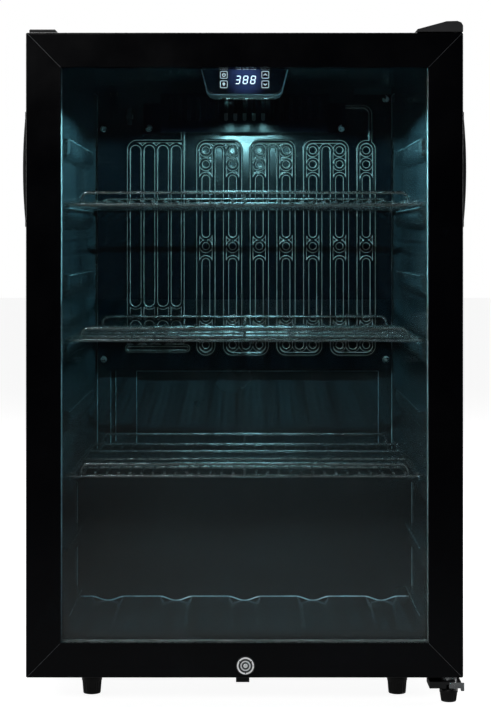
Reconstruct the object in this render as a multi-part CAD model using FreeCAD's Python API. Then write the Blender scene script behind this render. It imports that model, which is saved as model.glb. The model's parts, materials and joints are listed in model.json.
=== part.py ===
"""Glass door merchandiser: an undercounter drinks cooler, built as separate named pieces.

Frame: origin on the floor under the middle of the whole object, front towards -Y, right +X, up +Z.
All sizes are in millimetres.
"""
import FreeCAD, Part
import math
import os

os.makedirs("parts", exist_ok=True)
V = FreeCAD.Vector
UP = V(0, 0, 1)
BACK = V(0, 1, 0)
RIGHT = V(1, 0, 0)

# ---- driving dimensions: cabinet -------------------------------------------------------------
HALF_WIDTH = 240.0
CAB_FRONT = -205.0
CAB_BACK = 218.0
CAB_BOTTOM = 24.0
CAB_TOP = 739.0
SHEET = 1.0
FOLD = 12.0

# ---- liner (the moulded inner box) -----------------------------------------------------------
LINER_WALL = 2.0
LINER_FRONT_HALF = 209.0
LINER_BACK_HALF = 205.0
LINER_BACK = 182.0
LINER_CORNER = 12.0
LINER_FLOOR = 71.5
LINER_CEILING = 710.0
GROOVE_DEPTH = 5.0
GROOVE_TOP = 41.0
GROOVE_BOTTOM = 27.0
GROOVE_PITCH = 84.0
STEP_FRONT = 17.0
STEP_TOP = 233.0
LEDGE_COUNT = 8
LEDGE_FIRST_TOP = 86.2
LEDGE_PITCH = 76.95
LEDGE_HEIGHT = 25.0
LEDGE_REACH = 10.0
LEDGE_FRONT = -190.0
LEDGE_REAR = 166.0
BACK_RECESS_DEPTH = 4.0
BACK_RECESSES = ((-176.0, -169.5), (-142.0, 176.0))

# ---- machine compartment ---------------------------------------------------------------------
MACHINE_FRONT = 57.0
MACHINE_TOP = 191.0
BASE_PLATE = 2.0

# ---- door ------------------------------------------------------------------------------------
DOOR_FRONT = -250.0
DOOR_DEPTH = 36.0
DOOR_BOTTOM = 30.0
DOOR_TOP = 738.0
FRAME_WIDTH = 38.0
GLASS_BITE = 10.0
PANE = 4.0
PANE_GAP = 10.0
FRAME_LIP = 3.8
GASKET_GAP = 0.3
GASKET_WIDTH = 14.0

# ---- hinge -----------------------------------------------------------------------------------
HINGE_X = 226.0
HINGE_Y = -229.0
HINGE_PIN_R = 4.0
RUNNING = 0.06
BUSH_R = 8.0
BUSH_LENGTH = 24.0
BRACKET_SHEET = 3.0
STRIKE_SHEET = 1.6
COVER_TOP = 751.0

# ---- lock ------------------------------------------------------------------------------------
LOCK_X = 1.0
LOCK_Z = 43.5
LOCK_BARREL_R = 8.0
LOCK_PLUG_R = 6.0
LOCK_FLANGE_R = 9.35
LOCK_RING_R = 10.45
CAM_REACH = 19.0
CAM_WIDTH = 7.0
CAM_SHEET = 2.5
CAM_FRONT = -230.0

# ---- side grips ------------------------------------------------------------------------------
GRIP_BOTTOM = 522.0
GRIP_TOP = 654.0
GRIP_PROUD = 3.5
GRIP_PLATE = 1.2
GRIP_DEPTH = 11.0
GRIP_REAR_Y = -223.0

# ---- shelves ---------------------------------------------------------------------------------
SHELF_HALF = 201.5
SHELF_FRONT = -175.0
SHELF_REAR = 166.5
SHELF_BAR_R = 2.5
SHELF_WIRE_R = 1.4
SHELF_WIRE_PITCH = 13.0
SHELF_WIRE_COUNT = 31
SHELF_LEDGES = (2, 4, 6)
GUARD_HALF = 185.5
GUARD_RISE = 13.5
GUARD_R = 2.0
SHELF_CLEARANCE = 0.3

# ---- evaporator ------------------------------------------------------------------------------
EVAP_HALF = 191.5
EVAP_FRONT = 171.0
EVAP_SHEET = 1.5
EVAP_BOTTOM = 342.0
EVAP_TOP_LEFT = 668.0
EVAP_TOP_RIGHT = 701.0
CHANNEL_RISE = 1.6
TUBE_R = 3.0
TUBE_HOLE_R = 3.3
COLUMN_FIRST = -50.7
COLUMN_PITCH = 35.0
COLUMN_COUNT = 7

# ---- fan and its cover -----------------------------------------------------------------------
FAN_COVER_HALF = 107.0
FAN_COVER_FRONT = 100.0
FAN_COVER_BOTTOM = 648.0
FAN_COVER_TOP = 697.0
FAN_BAND_TOP = 657.4
LOUVRE_PITCH = 11.8
FAN_Y = 134.2
FAN_SIZE = 60.0
FAN_DEPTH = 20.0
FAN_HUB_R = 11.0

# ---- control panel ---------------------------------------------------------------------------
PANEL_FRONT = -164.0
PANEL_DEPTH = 60.0
PANEL_TOP_HALF = 51.5
PANEL_BOTTOM_HALF = 42.5
PANEL_BOTTOM = 675.0
PANEL_WALL = 2.0
BUTTON_SIZE = 9.2
BUTTON_TRAVEL = 1.0
BUTTON_X = 23.6
BUTTON_UPPER_Z = 698.6
BUTTON_LOWER_Z = 687.8
DISPLAY_HALF = 13.5
LED_X = 2.8
LED_PITCH = 22.0

# ---- feet ------------------------------------------------------------------------------------
FOOT_X = 172.0
FOOT_FRONT_Y = -190.0
FOOT_REAR_Y = 200.0
FOOT_TOP = 21.5
FOOT_STUD_R = 4.0

# ---- rear of the cabinet ---------------------------------------------------------------------
COMPRESSOR_X = 108.0
COMPRESSOR_Y = 134.0
GROMMET_X = 62.0
GROMMET_Y = 40.0
REAR_LIMIT = 251.5
CONDENSER_Y = 232.0
CONDENSER_TUBE_R = 2.4
CONDENSER_HALF = 200.0
CONDENSER_BOTTOM = 230.0
CONDENSER_RUNS = 10
CONDENSER_PITCH = 46.0

DOOR_REAR = DOOR_FRONT + DOOR_DEPTH
GLASS_HALF = HALF_WIDTH - FRAME_WIDTH
GLASS_BOTTOM = DOOR_BOTTOM + FRAME_WIDTH
GLASS_TOP = DOOR_TOP - FRAME_WIDTH
OUTER_PANE = DOOR_FRONT + FRAME_LIP + 0.2
INNER_PANE = OUTER_PANE + PANE + PANE_GAP
INNER_HALF = HALF_WIDTH - SHEET - 0.1
INNER_BACK = CAB_BACK - SHEET - 0.1
INNER_TOP = CAB_TOP - SHEET - 0.1
FOAM_FRONT = CAB_FRONT + SHEET + LINER_WALL
FAN_BOTTOM = FAN_COVER_BOTTOM + 4.0


# ---- helpers ---------------------------------------------------------------------------------
def box(x0, x1, y0, y1, z0, z1):
    """A block between two opposite corners."""
    return Part.makeBox(x1 - x0, y1 - y0, z1 - z0, V(x0, y0, z0))


def rod(radius, start, end):
    """A round bar between two points."""
    start, end = V(*start), V(*end)
    return Part.makeCylinder(radius, (end - start).Length, start, end - start)


def tube(outer, inner, start, end):
    """A round sleeve between two points."""
    return rod(outer, start, end).cut(rod(inner, start, end))


def prism(points, direction, length):
    """A polygon, given as 3-D points, pushed along a direction."""
    vectors = [V(*p) for p in points]
    face = Part.Face(Part.makePolygon(vectors + vectors[:1]))
    return face.extrude(direction * length)


def prism_xz(points, y0, y1):
    """A polygon seen from the front, pushed from y0 back to y1."""
    return prism([(x, y0, z) for x, z in points], BACK, y1 - y0)


def prism_xy(points, z0, z1):
    """A polygon seen from above, pushed from z0 up to z1."""
    return prism([(x, y, z0) for x, y in points], UP, z1 - z0)


def union(shapes):
    """One solid from shapes that overlap or share faces."""
    first, *rest = shapes
    return first.multiFuse(rest).removeSplitter() if rest else first


def mirror_x(shape):
    """The same shape on the other side of the middle plane."""
    return shape.mirror(V(0, 0, 0), RIGHT)


def both_sides(shape):
    """A shape and its mirror image, as separate solids."""
    return [shape, mirror_x(shape)]


def rounded_path(points, bend):
    """A path of straight runs joined by tangent arcs of one radius."""
    points = [V(*p) for p in points]
    edges = []
    start = points[0]
    for before, corner, after in zip(points, points[1:], points[2:]):
        into = (before - corner).normalize()
        out = (after - corner).normalize()
        half = into.getAngle(out) / 2
        setback = bend / math.tan(half)
        first = corner + into * setback
        last = corner + out * setback
        middle_way = (into + out).normalize()
        centre = corner + middle_way * (bend / math.sin(half))
        if (first - start).Length > 1e-6:
            edges.append(Part.LineSegment(start, first).toShape())
        edges.append(Part.Arc(first, centre - middle_way * bend, last).toShape())
        start = last
    edges.append(Part.LineSegment(start, points[-1]).toShape())
    return Part.Wire(edges)


def bent_rod(points, radius, bend):
    """A round bar or tube that follows a path with rounded corners."""
    path = rounded_path(points, bend)
    start = V(*points[0])
    circle = Part.Wire(Part.makeCircle(radius, start, V(*points[1]) - start))
    return path.makePipeShell([circle], True, True)


def lathe(profile, x, y):
    """A shape turned about an upright axis at x, y; profile is (radius, z) pairs."""
    points = [V(x + r, y, z) for r, z in profile]
    face = Part.Face(Part.makePolygon(points + points[:1]))
    return face.revolve(V(x, y, 0), UP, 360)


def pan_screw(x, y, z, inward, head_r=4.5, head_h=2.5, shank_r=2.0, shank=9.0):
    """A pan-head screw whose head rests at the point and whose shank runs inward."""
    at = V(x, y, z)
    head = Part.makeCone(head_r, head_r * 0.55, head_h, at, inward * -1)
    stem = Part.makeCylinder(shank_r, shank, at, inward)
    cross = Part.makeBox(head_r * 0.9, 0.9, 1.4, V(-head_r * 0.45, -0.45, 0))
    cross = cross.fuse(Part.makeBox(0.9, head_r * 0.9, 1.4, V(-0.45, -head_r * 0.45, 0)))
    turn = FreeCAD.Rotation(UP, inward)
    cross.Placement = FreeCAD.Placement(at - inward * head_h, turn)
    return head.fuse(stem).cut(cross)


def obround(x, z0, z1, radius, y0, y1):
    """An upright slot shape with round ends; z0 and z1 are the centres of its ends."""
    ends = [rod(radius, (x, y0, z), (x, y1, z)) for z in (z0, z1)]
    return union([box(x - radius, x + radius, y0, y1, z0, z1)] + ends)


# ---- cabinet ---------------------------------------------------------------------------------
def outer_cabinet():
    """The painted steel wrapper: two sides, the top, and folded returns front and rear."""
    whole = box(-HALF_WIDTH, HALF_WIDTH, CAB_FRONT, CAB_BACK, CAB_BOTTOM, CAB_TOP)
    inner = box(-HALF_WIDTH + SHEET, HALF_WIDTH - SHEET, CAB_FRONT + SHEET, CAB_BACK - SHEET,
                CAB_BOTTOM - 1, CAB_TOP - SHEET)
    mouth = box(-HALF_WIDTH + FOLD, HALF_WIDTH - FOLD, CAB_FRONT - 1, CAB_BACK + 1,
                CAB_BOTTOM - 1, CAB_TOP - FOLD)
    shell = whole.cut(inner).cut(mouth)
    for x, y, _ in hinge_screw_places():
        shell = shell.cut(rod(2.5, (x, y, CAB_TOP - 5), (x, y, CAB_TOP + 5)))
    return shell


def step_sheet(thickness, top, wall):
    """The outline of the bottom panel, seen from the side: floor, riser and shelf over the machine."""
    low = CAB_BOTTOM
    return [(FOAM_FRONT, low), (wall, low), (wall, top - thickness), (INNER_BACK - SHEET, top - thickness),
            (INNER_BACK - SHEET, top), (wall - thickness, top), (wall - thickness, low + thickness),
            (FOAM_FRONT, low + thickness)]


def bottom_panel():
    """One folded sheet: the floor under the liner, then up and over the machine compartment."""
    outline = step_sheet(1.2, MACHINE_TOP, MACHINE_FRONT)
    panel = prism([(-INNER_HALF, y, z) for y, z in outline], RIGHT, 2 * INNER_HALF)
    for side in (-1, 1):
        panel = panel.cut(rod(FOOT_STUD_R + 0.3, (side * FOOT_X, FOOT_FRONT_Y, 0),
                              (side * FOOT_X, FOOT_FRONT_Y, 60)))
    return panel


def rear_panel():
    """The flat sheet that closes the back above the machine compartment."""
    return box(-INNER_HALF, INNER_HALF, INNER_BACK - SHEET, INNER_BACK, MACHINE_TOP - 14, INNER_TOP)


def liner_plan(grow):
    """The liner seen from above, grown outwards by a wall's thickness."""
    front, back = LINER_FRONT_HALF + grow, LINER_BACK_HALF + grow
    cut = LINER_CORNER
    side = LINER_BACK + grow - cut
    rear = LINER_BACK + grow
    return [(-front, CAB_FRONT + SHEET), (front, CAB_FRONT + SHEET), (back, side), (back - cut, rear),
            (cut - back, rear), (-back, side)]


def liner_volume(grow):
    """The space inside the liner, or with a wall's growth the space that the liner fills."""
    low = LINER_FLOOR - grow
    space = [prism_xy(liner_plan(grow), low, LINER_CEILING + grow)]
    half_top, half_low = GROOVE_TOP / 2 + grow * 0.7, GROOVE_BOTTOM / 2 + grow * 0.7
    for index in range(-2, 3):
        x = index * GROOVE_PITCH
        profile = [(x - half_top, low + 1), (x - half_low, low - GROOVE_DEPTH),
                   (x + half_low, low - GROOVE_DEPTH), (x + half_top, low + 1)]
        space.append(prism_xz(profile, CAB_FRONT + 14 - grow, STEP_FRONT + 1))
    for x0, x1 in BACK_RECESSES:
        space.append(box(x0 - grow, x1 + grow, LINER_BACK - 1, LINER_BACK + BACK_RECESS_DEPTH + grow,
                         STEP_TOP + 8 - grow, EVAP_BOTTOM - 4 + grow))
    step = box(-300, 300, STEP_FRONT + grow, 300, 0, STEP_TOP - grow)
    return union(space).cut(step)


def ledge(top, rear):
    """One moulded shelf support on the left wall, with a round underside and round ends."""
    wall, nose = -LINER_FRONT_HALF - 1, -LINER_BACK_HALF + LEDGE_REACH - 2
    bottom = top - LEDGE_HEIGHT
    profile = [V(wall, LEDGE_FRONT, top), V(nose - 3, LEDGE_FRONT, top), V(nose, LEDGE_FRONT, top - 3),
               V(nose, LEDGE_FRONT, top - 13), V(wall, LEDGE_FRONT, bottom)]
    edges = [
        Part.LineSegment(profile[0], profile[1]).toShape(),
        Part.Arc(profile[1], V(nose - 0.88, LEDGE_FRONT, top - 0.88), profile[2]).toShape(),
        Part.LineSegment(profile[2], profile[3]).toShape(),
        Part.Arc(profile[3], V(nose - 4.2, LEDGE_FRONT, bottom + 4.2), profile[4]).toShape(),
        Part.LineSegment(profile[4], profile[0]).toShape(),
    ]
    body = Part.Face(Part.Wire(edges)).extrude(BACK * (rear - LEDGE_FRONT))
    round_end = 9.0
    plan = prism_xy([(wall - 1, LEDGE_FRONT), (nose - round_end, LEDGE_FRONT),
                     (nose - 2.6, LEDGE_FRONT + 2.6), (nose, LEDGE_FRONT + round_end),
                     (nose, rear - round_end), (nose - 2.6, rear - 2.6),
                     (nose - round_end, rear), (wall - 1, rear)], bottom - 1, top + 1)
    return body.common(plan)


def evaporator_bosses():
    """Four hollow bosses on the back wall that hold the evaporator plate forward."""
    y0 = EVAP_FRONT + EVAP_SHEET
    places = evaporator_screw_places()
    return [tube(7.0, 2.0, (x, y0, z), (x, LINER_BACK + LINER_WALL, z)) for x, z in places]


def liner():
    """The vacuum-formed inner box with its shelf ledges, floor grooves and front flange."""
    outside = liner_volume(LINER_WALL)
    front = CAB_FRONT + SHEET
    flange = box(-INNER_HALF, INNER_HALF, front, front + LINER_WALL, CAB_BOTTOM + 0.1, INNER_TOP)
    shell = outside.fuse(flange).cut(liner_volume(0))
    ledges = []
    for index in range(LEDGE_COUNT):
        top = LEDGE_FIRST_TOP + index * LEDGE_PITCH
        rear = LEDGE_REAR if top > STEP_TOP + 2 else STEP_FRONT - 8
        ledges += both_sides(ledge(top, rear))
    ledges = [piece.common(outside) for piece in ledges]
    shell = shell.multiFuse(ledges + evaporator_bosses())
    for x, z in tube_places():
        shell = shell.cut(rod(TUBE_HOLE_R, (x, LINER_BACK - 5, z), (x, LINER_BACK + 12, z)))
    return shell.removeSplitter()


def insulation_foam():
    """The rigid foam that fills the walls."""
    block = box(-INNER_HALF, INNER_HALF, FOAM_FRONT, INNER_BACK - SHEET, CAB_BOTTOM + 1.2, INNER_TOP)
    machine = box(-300, 300, MACHINE_FRONT - 1.2, 300, 0, MACHINE_TOP)
    foam = block.cut(machine).cut(liner_volume(LINER_WALL))
    for side in (-1, 1):
        foot = (side * FOOT_X, FOOT_FRONT_Y)
        foam = foam.cut(rod(7.0, (*foot, CAB_BOTTOM), (*foot, CAB_BOTTOM + 17)))
    for x, y, _ in hinge_screw_places():
        foam = foam.cut(rod(2.6, (x, y, CAB_TOP - 20), (x, y, CAB_TOP)))
    for x, z in tube_places():
        foam = foam.cut(rod(TUBE_HOLE_R, (x, LINER_BACK, z), (x, LINER_BACK + 13, z)))
    return foam


# ---- evaporator ------------------------------------------------------------------------------
def evaporator_screw_places():
    """The four corner screws of the plate: x, z."""
    return [(-185.0, 656.0), (-185.0, 354.0), (185.0, 354.0), (185.0, 695.0)]


def tube_places():
    """Where the two evaporator tubes pass through the back of the liner: x, z."""
    return [(-178.7, 701.0), (-170.2, 701.0)]


def column_channels(x):
    """The raised loops of one column of the plate."""
    y0, y1 = EVAP_FRONT - CHANNEL_RISE, EVAP_FRONT
    wide, slot = 9.0, 4.0
    loops = []
    for low, high in ((628.0, 628.0), (609.7, 609.7), (500.8, 500.8), (525.0, 590.0), (409.0, 480.0)):
        if low == high:
            loops.append(tube(wide, slot, (x, y0, low), (x, y1, low)))
        else:
            loops.append(obround(x, low, high, wide, y0, y1).cut(obround(x, low, high, slot, y0, y1)))
    loops.append(box(x - 2.5, x + 2.5, y0, y1, 366.0, 401.5))
    return loops


def evaporator_plate():
    """The roll-bond plate: a thin sheet with the refrigerant channels raised on its front."""
    y0, y1 = EVAP_FRONT, EVAP_FRONT + EVAP_SHEET
    outline = [(-EVAP_HALF, EVAP_BOTTOM), (EVAP_HALF, EVAP_BOTTOM), (EVAP_HALF, EVAP_TOP_RIGHT),
               (120.0, EVAP_TOP_RIGHT), (120.0, EVAP_TOP_LEFT), (-EVAP_HALF, EVAP_TOP_LEFT)]
    sheet = prism_xz(outline, y0, y1)
    for x, z in evaporator_screw_places():
        sheet = sheet.cut(rod(2.1, (x, y0 - 1, z), (x, y1 + 1, z)))
    raised = []
    for index in range(COLUMN_COUNT):
        raised += column_channels(COLUMN_FIRST + index * COLUMN_PITCH)
    front = EVAP_FRONT - CHANNEL_RISE
    for x in (-151.6, -133.2, -115.5, -97.8, -81.4):
        raised.append(box(x - 2.5, x + 2.5, front, y0, 406.0, 638.0))
    raised.append(box(-155.6, -73.0, front, y0, 363.0, 371.0))
    raised.append(box(-60.0, 170.0, front, y0, 359.5, 366.0))
    return sheet.multiFuse(raised).removeSplitter()


def evaporator_screws():
    """The four corner screws."""
    shank = LINER_BACK - EVAP_FRONT - 0.5
    return [pan_screw(x, EVAP_FRONT, z, BACK, shank=shank) for x, z in evaporator_screw_places()]


def evaporator_tubes():
    """The two aluminium tubes that rise from the plate's top left corner and turn into the back wall."""
    tubes = []
    front = EVAP_FRONT - 8
    for x, z in tube_places():
        path = [(x, EVAP_FRONT - 4, EVAP_TOP_LEFT - 2), (x, front, EVAP_TOP_LEFT + 10), (x, front, z),
                (x, LINER_BACK + 12, z)]
        tubes.append(bent_rod(path, TUBE_R, 5.5))
    return tubes


# ---- fan ------------------------------------------------------------------------------------
def fan_cover():
    """The shallow black duct under the ceiling: louvred front, plain lower band, round grille below, two ears."""
    wall = 1.8
    x, y0, y1 = FAN_COVER_HALF, FAN_COVER_FRONT, EVAP_FRONT - 4
    z0, z1 = FAN_COVER_BOTTOM, FAN_COVER_TOP
    shell = box(-x, x, y0, y1, z0, z1)
    shell = shell.cut(box(-x + wall, x - wall, y0 + wall, y1 + 1, z0 + wall, z1 - wall))
    shell = shell.cut(box(-x - 1, x + 1, y0 - 1, y0 + 0.8, z0 - 1, FAN_BAND_TOP))
    ear = box(x - 1, x + 25, y1 - wall, y1, z0 + 2, z1 - 8)
    shell = union([shell] + both_sides(ear))
    cuts = []
    for index in range(-8, 9):
        cuts.append(obround(index * LOUVRE_PITCH, FAN_BAND_TOP + 7, z1 - 7, 2.4, y0 - 1, y0 + wall + 1))
    reach = FAN_SIZE / 2 - 2
    for radius in (8.5, 14.5, 20.5, 26.0):
        cuts.append(tube(radius + 1.9, radius - 1.9, (0, FAN_Y, z0 - 1), (0, FAN_Y, z0 + wall + 1)))
    shell = shell.cut(Part.makeCompound(cuts))
    spokes = [box(-reach, reach, FAN_Y - 1.5, FAN_Y + 1.5, z0, z0 + wall),
              box(-1.5, 1.5, FAN_Y - reach, FAN_Y + reach, z0, z0 + wall)]
    shell = union([shell] + spokes)
    for side, z in fan_screw_places():
        shell = shell.cut(rod(2.1, (side, y1 - 5, z), (side, y1 + 5, z)))
    return shell


def fan_screw_places():
    """The two screws in the ears of the fan cover: x, z."""
    return [(-125.0, 656.5), (126.5, 656.5)]


def fan_cover_screws():
    """The two screws that hold the fan cover."""
    at = EVAP_FRONT - 4 - 1.8
    return [pan_screw(x, at, z, BACK, shank=5.2) for x, z in fan_screw_places()]


def fan_frame():
    """The square fan housing with its motor boss and four struts."""
    half = FAN_SIZE / 2
    top = FAN_BOTTOM + FAN_DEPTH
    frame = box(-half, half, FAN_Y - half, FAN_Y + half, FAN_BOTTOM, top)
    frame = frame.cut(rod(half - 2, (0, FAN_Y, FAN_BOTTOM - 1), (0, FAN_Y, top + 1)))
    struts = [rod(FAN_HUB_R, (0, FAN_Y, top - 3), (0, FAN_Y, top))]
    for angle in (0, 90, 180, 270):
        strut = box(FAN_HUB_R - 3, half - 1, FAN_Y - 2, FAN_Y + 2, top - 3, top)
        strut.rotate(V(0, FAN_Y, 0), UP, angle)
        struts.append(strut)
    shaft = rod(1.5, (0, FAN_Y, FAN_BOTTOM + 4), (0, FAN_Y, top - 2))
    return union([frame, shaft] + struts)


def fan_rotor():
    """The hub and seven pitched blades, open underneath so that it runs on the shaft."""
    tip_x, blades, lean, thick = 25.0, 7, 6.5, 1.4
    z0, z1 = FAN_BOTTOM + 3.0, FAN_BOTTOM + FAN_DEPTH - 4.0
    hub = rod(FAN_HUB_R, (0, FAN_Y, z0), (0, FAN_Y, z1))
    root = FAN_HUB_R - 2
    shapes = [hub]
    for index in range(blades):
        blade = prism([(root, FAN_Y - lean, z0 + 2), (root, FAN_Y - lean + thick, z0 + 2),
                       (root, FAN_Y + lean, z1 - 2), (root, FAN_Y + lean - thick, z1 - 2)],
                      RIGHT, tip_x - root)
        blade.rotate(V(0, FAN_Y, 0), UP, 360.0 * index / blades)
        shapes.append(blade)
    rotor = union(shapes)
    return rotor.cut(rod(1.5 + RUNNING, (0, FAN_Y, z0 + 0.9), (0, FAN_Y, z1 + 1)))


def temperature_sensor():
    """The sensing bulb in its clip beside the fan cover, at the left."""
    z = 661.0
    bulb = rod(3.0, (-150, EVAP_FRONT - 12, z), (-150, EVAP_FRONT - 12, z + 22))
    clip = box(-154.0, -146.0, EVAP_FRONT - 16, EVAP_FRONT - 0.2, z + 8, z + 13)
    return union([bulb, clip])


# ---- control panel ---------------------------------------------------------------------------
def panel_half(z, inset=0.0):
    """Half the panel's width at a height."""
    slope = (PANEL_TOP_HALF - PANEL_BOTTOM_HALF) / (LINER_CEILING - PANEL_BOTTOM)
    return PANEL_BOTTOM_HALF + (z - PANEL_BOTTOM) * slope - inset


def panel_outline(inset, top):
    """The panel's front outline, with its lower corners cut by short slopes."""
    low = PANEL_BOTTOM + inset
    corner = 7.0
    return [(-panel_half(top, inset), top), (-panel_half(low + corner, inset), low + corner),
            (-panel_half(low, inset) + 2, low + 2), (-panel_half(low, inset) + corner, low),
            (panel_half(low, inset) - corner, low), (panel_half(low, inset) - 2, low + 2),
            (panel_half(low + corner, inset), low + corner), (panel_half(top, inset), top)]


def control_housing():
    """The box that hangs from the ceiling, open in front and at the top."""
    y0, y1 = PANEL_FRONT, PANEL_FRONT + PANEL_DEPTH
    shell = prism_xz(panel_outline(0, LINER_CEILING), y0, y1)
    hollow = prism_xz(panel_outline(PANEL_WALL, LINER_CEILING + 1), y0 - 1, y1 - PANEL_WALL)
    window = box(LED_X - 32, LED_X + 32, y1 - 30, y1 - 12, PANEL_BOTTOM - 1, PANEL_BOTTOM + 3)
    return shell.cut(hollow).cut(window)


def button_places():
    """Each button's name, x and z."""
    return [("power_button", -BUTTON_X, BUTTON_UPPER_Z), ("light_button", -BUTTON_X, BUTTON_LOWER_Z),
            ("up_button", BUTTON_X, BUTTON_UPPER_Z), ("down_button", BUTTON_X, BUTTON_LOWER_Z)]


def control_fascia():
    """The glossy front plate, with holes for the buttons and the display."""
    inset = PANEL_WALL + 0.1
    y0, y1 = PANEL_FRONT, PANEL_FRONT + 2.0
    plate = prism_xz(panel_outline(inset, LINER_CEILING - 0.3), y0, y1)
    hole = BUTTON_SIZE / 2 + 0.3
    for _, x, z in button_places():
        plate = plate.cut(box(x - hole, x + hole, y0 - 1, y1 + 1, z - hole, z + hole))
    window = box(-DISPLAY_HALF - 0.1, DISPLAY_HALF + 0.1, y0 - 1, y1 + 1, 686.0, 699.6)
    return plate.cut(window)


def display_module():
    """The digit display, flush with the fascia."""
    face = box(-DISPLAY_HALF, DISPLAY_HALF, PANEL_FRONT + 0.4, PANEL_FRONT + 2.2, 686.1, 699.5)
    back = box(-16.0, 16.0, PANEL_FRONT + 2.2, PANEL_FRONT + 7.0, 684.0, 701.5)
    return union([face, back])


def control_board():
    """The circuit board behind the buttons, with four switch bodies."""
    y = PANEL_FRONT + 7.0
    board = box(-36.0, 36.0, y, y + 1.6, 681.0, 706.0)
    switches = [box(x - 3, x + 3, y - 2.0, y, z - 3, z + 3) for _, x, z in button_places()]
    return union([board] + switches)


def button(x, z):
    """One square push button with a stem to its switch; it moves back when pressed."""
    half = BUTTON_SIZE / 2
    cap = box(x - half, x + half, PANEL_FRONT - 0.4, PANEL_FRONT + 1.4, z - half, z + half)
    stem = rod(1.6, (x, PANEL_FRONT + 1.4, z), (x, PANEL_FRONT + 3.7, z))
    return union([cap, stem])


def led_board():
    """The lamp strip: a small board with three emitters facing down."""
    y = PANEL_FRONT + PANEL_DEPTH - 21
    z = PANEL_BOTTOM + 7.5
    board = box(LED_X - 30, LED_X + 30, y - 6, y + 6, z, z + 1.6)
    lamps = [box(LED_X + k * LED_PITCH - 2.5, LED_X + k * LED_PITCH + 2.5, y - 2.5, y + 2.5, z - 1.2, z)
             for k in (-1, 0, 1)]
    return union([board] + lamps)


def led_lens():
    """The clear strip that closes the lamp window."""
    y = PANEL_FRONT + PANEL_DEPTH - 21
    z = PANEL_BOTTOM
    low = box(LED_X - 31.9, LED_X + 31.9, y - 8.9, y + 8.9, z - 0.8, z + 2.0)
    high = box(LED_X - 30.5, LED_X + 30.5, y - 10, y + 10, z + 2.0, z + 3.2)
    return union([low, high])


# ---- hinges ----------------------------------------------------------------------------------
def hinge_screw_places():
    """The screws of the upper hinge bracket: x, y and head height."""
    return [(216.0, -192.0, 742.0), (232.0, -192.0, 742.0), (224.0, -168.0, 742.0)]


def upper_hinge_bracket():
    """The plate on top of the cabinet, with the pin that enters the door from above."""
    z0, z1 = CAB_TOP, CAB_TOP + BRACKET_SHEET
    plate = box(206.0, 237.0, -241.0, -156.0, z0, z1)
    plate = plate.common(union([rod(15.5, (221.5, -225.5, z0), (221.5, -225.5, z1)),
                                box(206, 237, -225.5, -156, z0, z1)]))
    for x, y, _ in hinge_screw_places():
        plate = plate.cut(rod(2.5, (x, y, z0 - 1), (x, y, z1 + 1)))
    pin = rod(HINGE_PIN_R, (HINGE_X, HINGE_Y, DOOR_TOP - BUSH_LENGTH + 2), (HINGE_X, HINGE_Y, z1))
    return union([plate, pin])


def upper_hinge_screws():
    """Three screws through the upper bracket into the cabinet."""
    return [pan_screw(x, y, z, V(0, 0, -1), head_r=5.0, head_h=2.6, shank_r=2.4, shank=16.0)
            for x, y, z in hinge_screw_places()]


def cover_outline(inset, low):
    """The hinge cover seen from the front: a slope up from the left, then a rounded knuckle."""
    left, right, top = 190.0 + inset, HALF_WIDTH - inset, COVER_TOP - inset
    return [(left, low), (left, 742.0 - inset * 0.6), (222.0, top - 0.3), (234.0, top),
            (238.2 - inset * 0.3, top - 1.8 + inset * 0.3), (right, top - 5.0), (right, low)]


def upper_hinge_cover():
    """The plastic cap over the upper bracket."""
    low = CAB_TOP + 0.2
    y0, y1 = DOOR_FRONT + 2, -146.0
    outer = prism_xz(cover_outline(0, low), y0, y1)
    inner = prism_xz(cover_outline(1.8, low - 1), y0 + 1.8, y1 - 1.8)
    return outer.cut(inner)


def lower_hinge_bracket():
    """The folded black plate under the cabinet that carries the door, the pin and the front foot."""
    z0, z1 = CAB_BOTTOM - BRACKET_SHEET, CAB_BOTTOM
    plate = box(203.5, 238.5, -244.0, -150.0, z0, z1)
    apron = box(203.5, 222.0, -244.0, -241.5, 17.0, z1)
    side = box(203.5, 206.0, -244.0, -208.0, 17.0, z1)
    bracket = union([plate, apron, side])
    bracket = bracket.cut(rod(HINGE_PIN_R, (HINGE_X, HINGE_Y, 0), (HINGE_X, HINGE_Y, 60)))
    for x, y in lower_screw_places():
        bracket = bracket.cut(rod(2.4, (x, y, 0), (x, y, 60)))
    return bracket


def lower_screw_places():
    """The screws that hold the lower bracket to the cabinet floor: x, y."""
    return [(212.0, -196.0), (228.0, -196.0), (212.0, -164.0), (228.0, -164.0)]


def lower_hinge_screws():
    """Four screws up through the lower bracket."""
    z = CAB_BOTTOM - BRACKET_SHEET
    return [pan_screw(x, y, z, UP, head_r=4.6, head_h=2.6, shank_r=2.4, shank=BRACKET_SHEET - 0.1)
            for x, y in lower_screw_places()]


def lower_hinge_pin():
    """The zinc-plated pin with its thrust collar, which carries the door's weight."""
    z0 = CAB_BOTTOM - BRACKET_SHEET
    pin = rod(HINGE_PIN_R, (HINGE_X, HINGE_Y, z0), (HINGE_X, HINGE_Y, DOOR_BOTTOM + BUSH_LENGTH - 2))
    collar = rod(9.0, (HINGE_X, HINGE_Y, CAB_BOTTOM), (HINGE_X, HINGE_Y, DOOR_BOTTOM - 0.4))
    return union([pin, collar])


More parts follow.
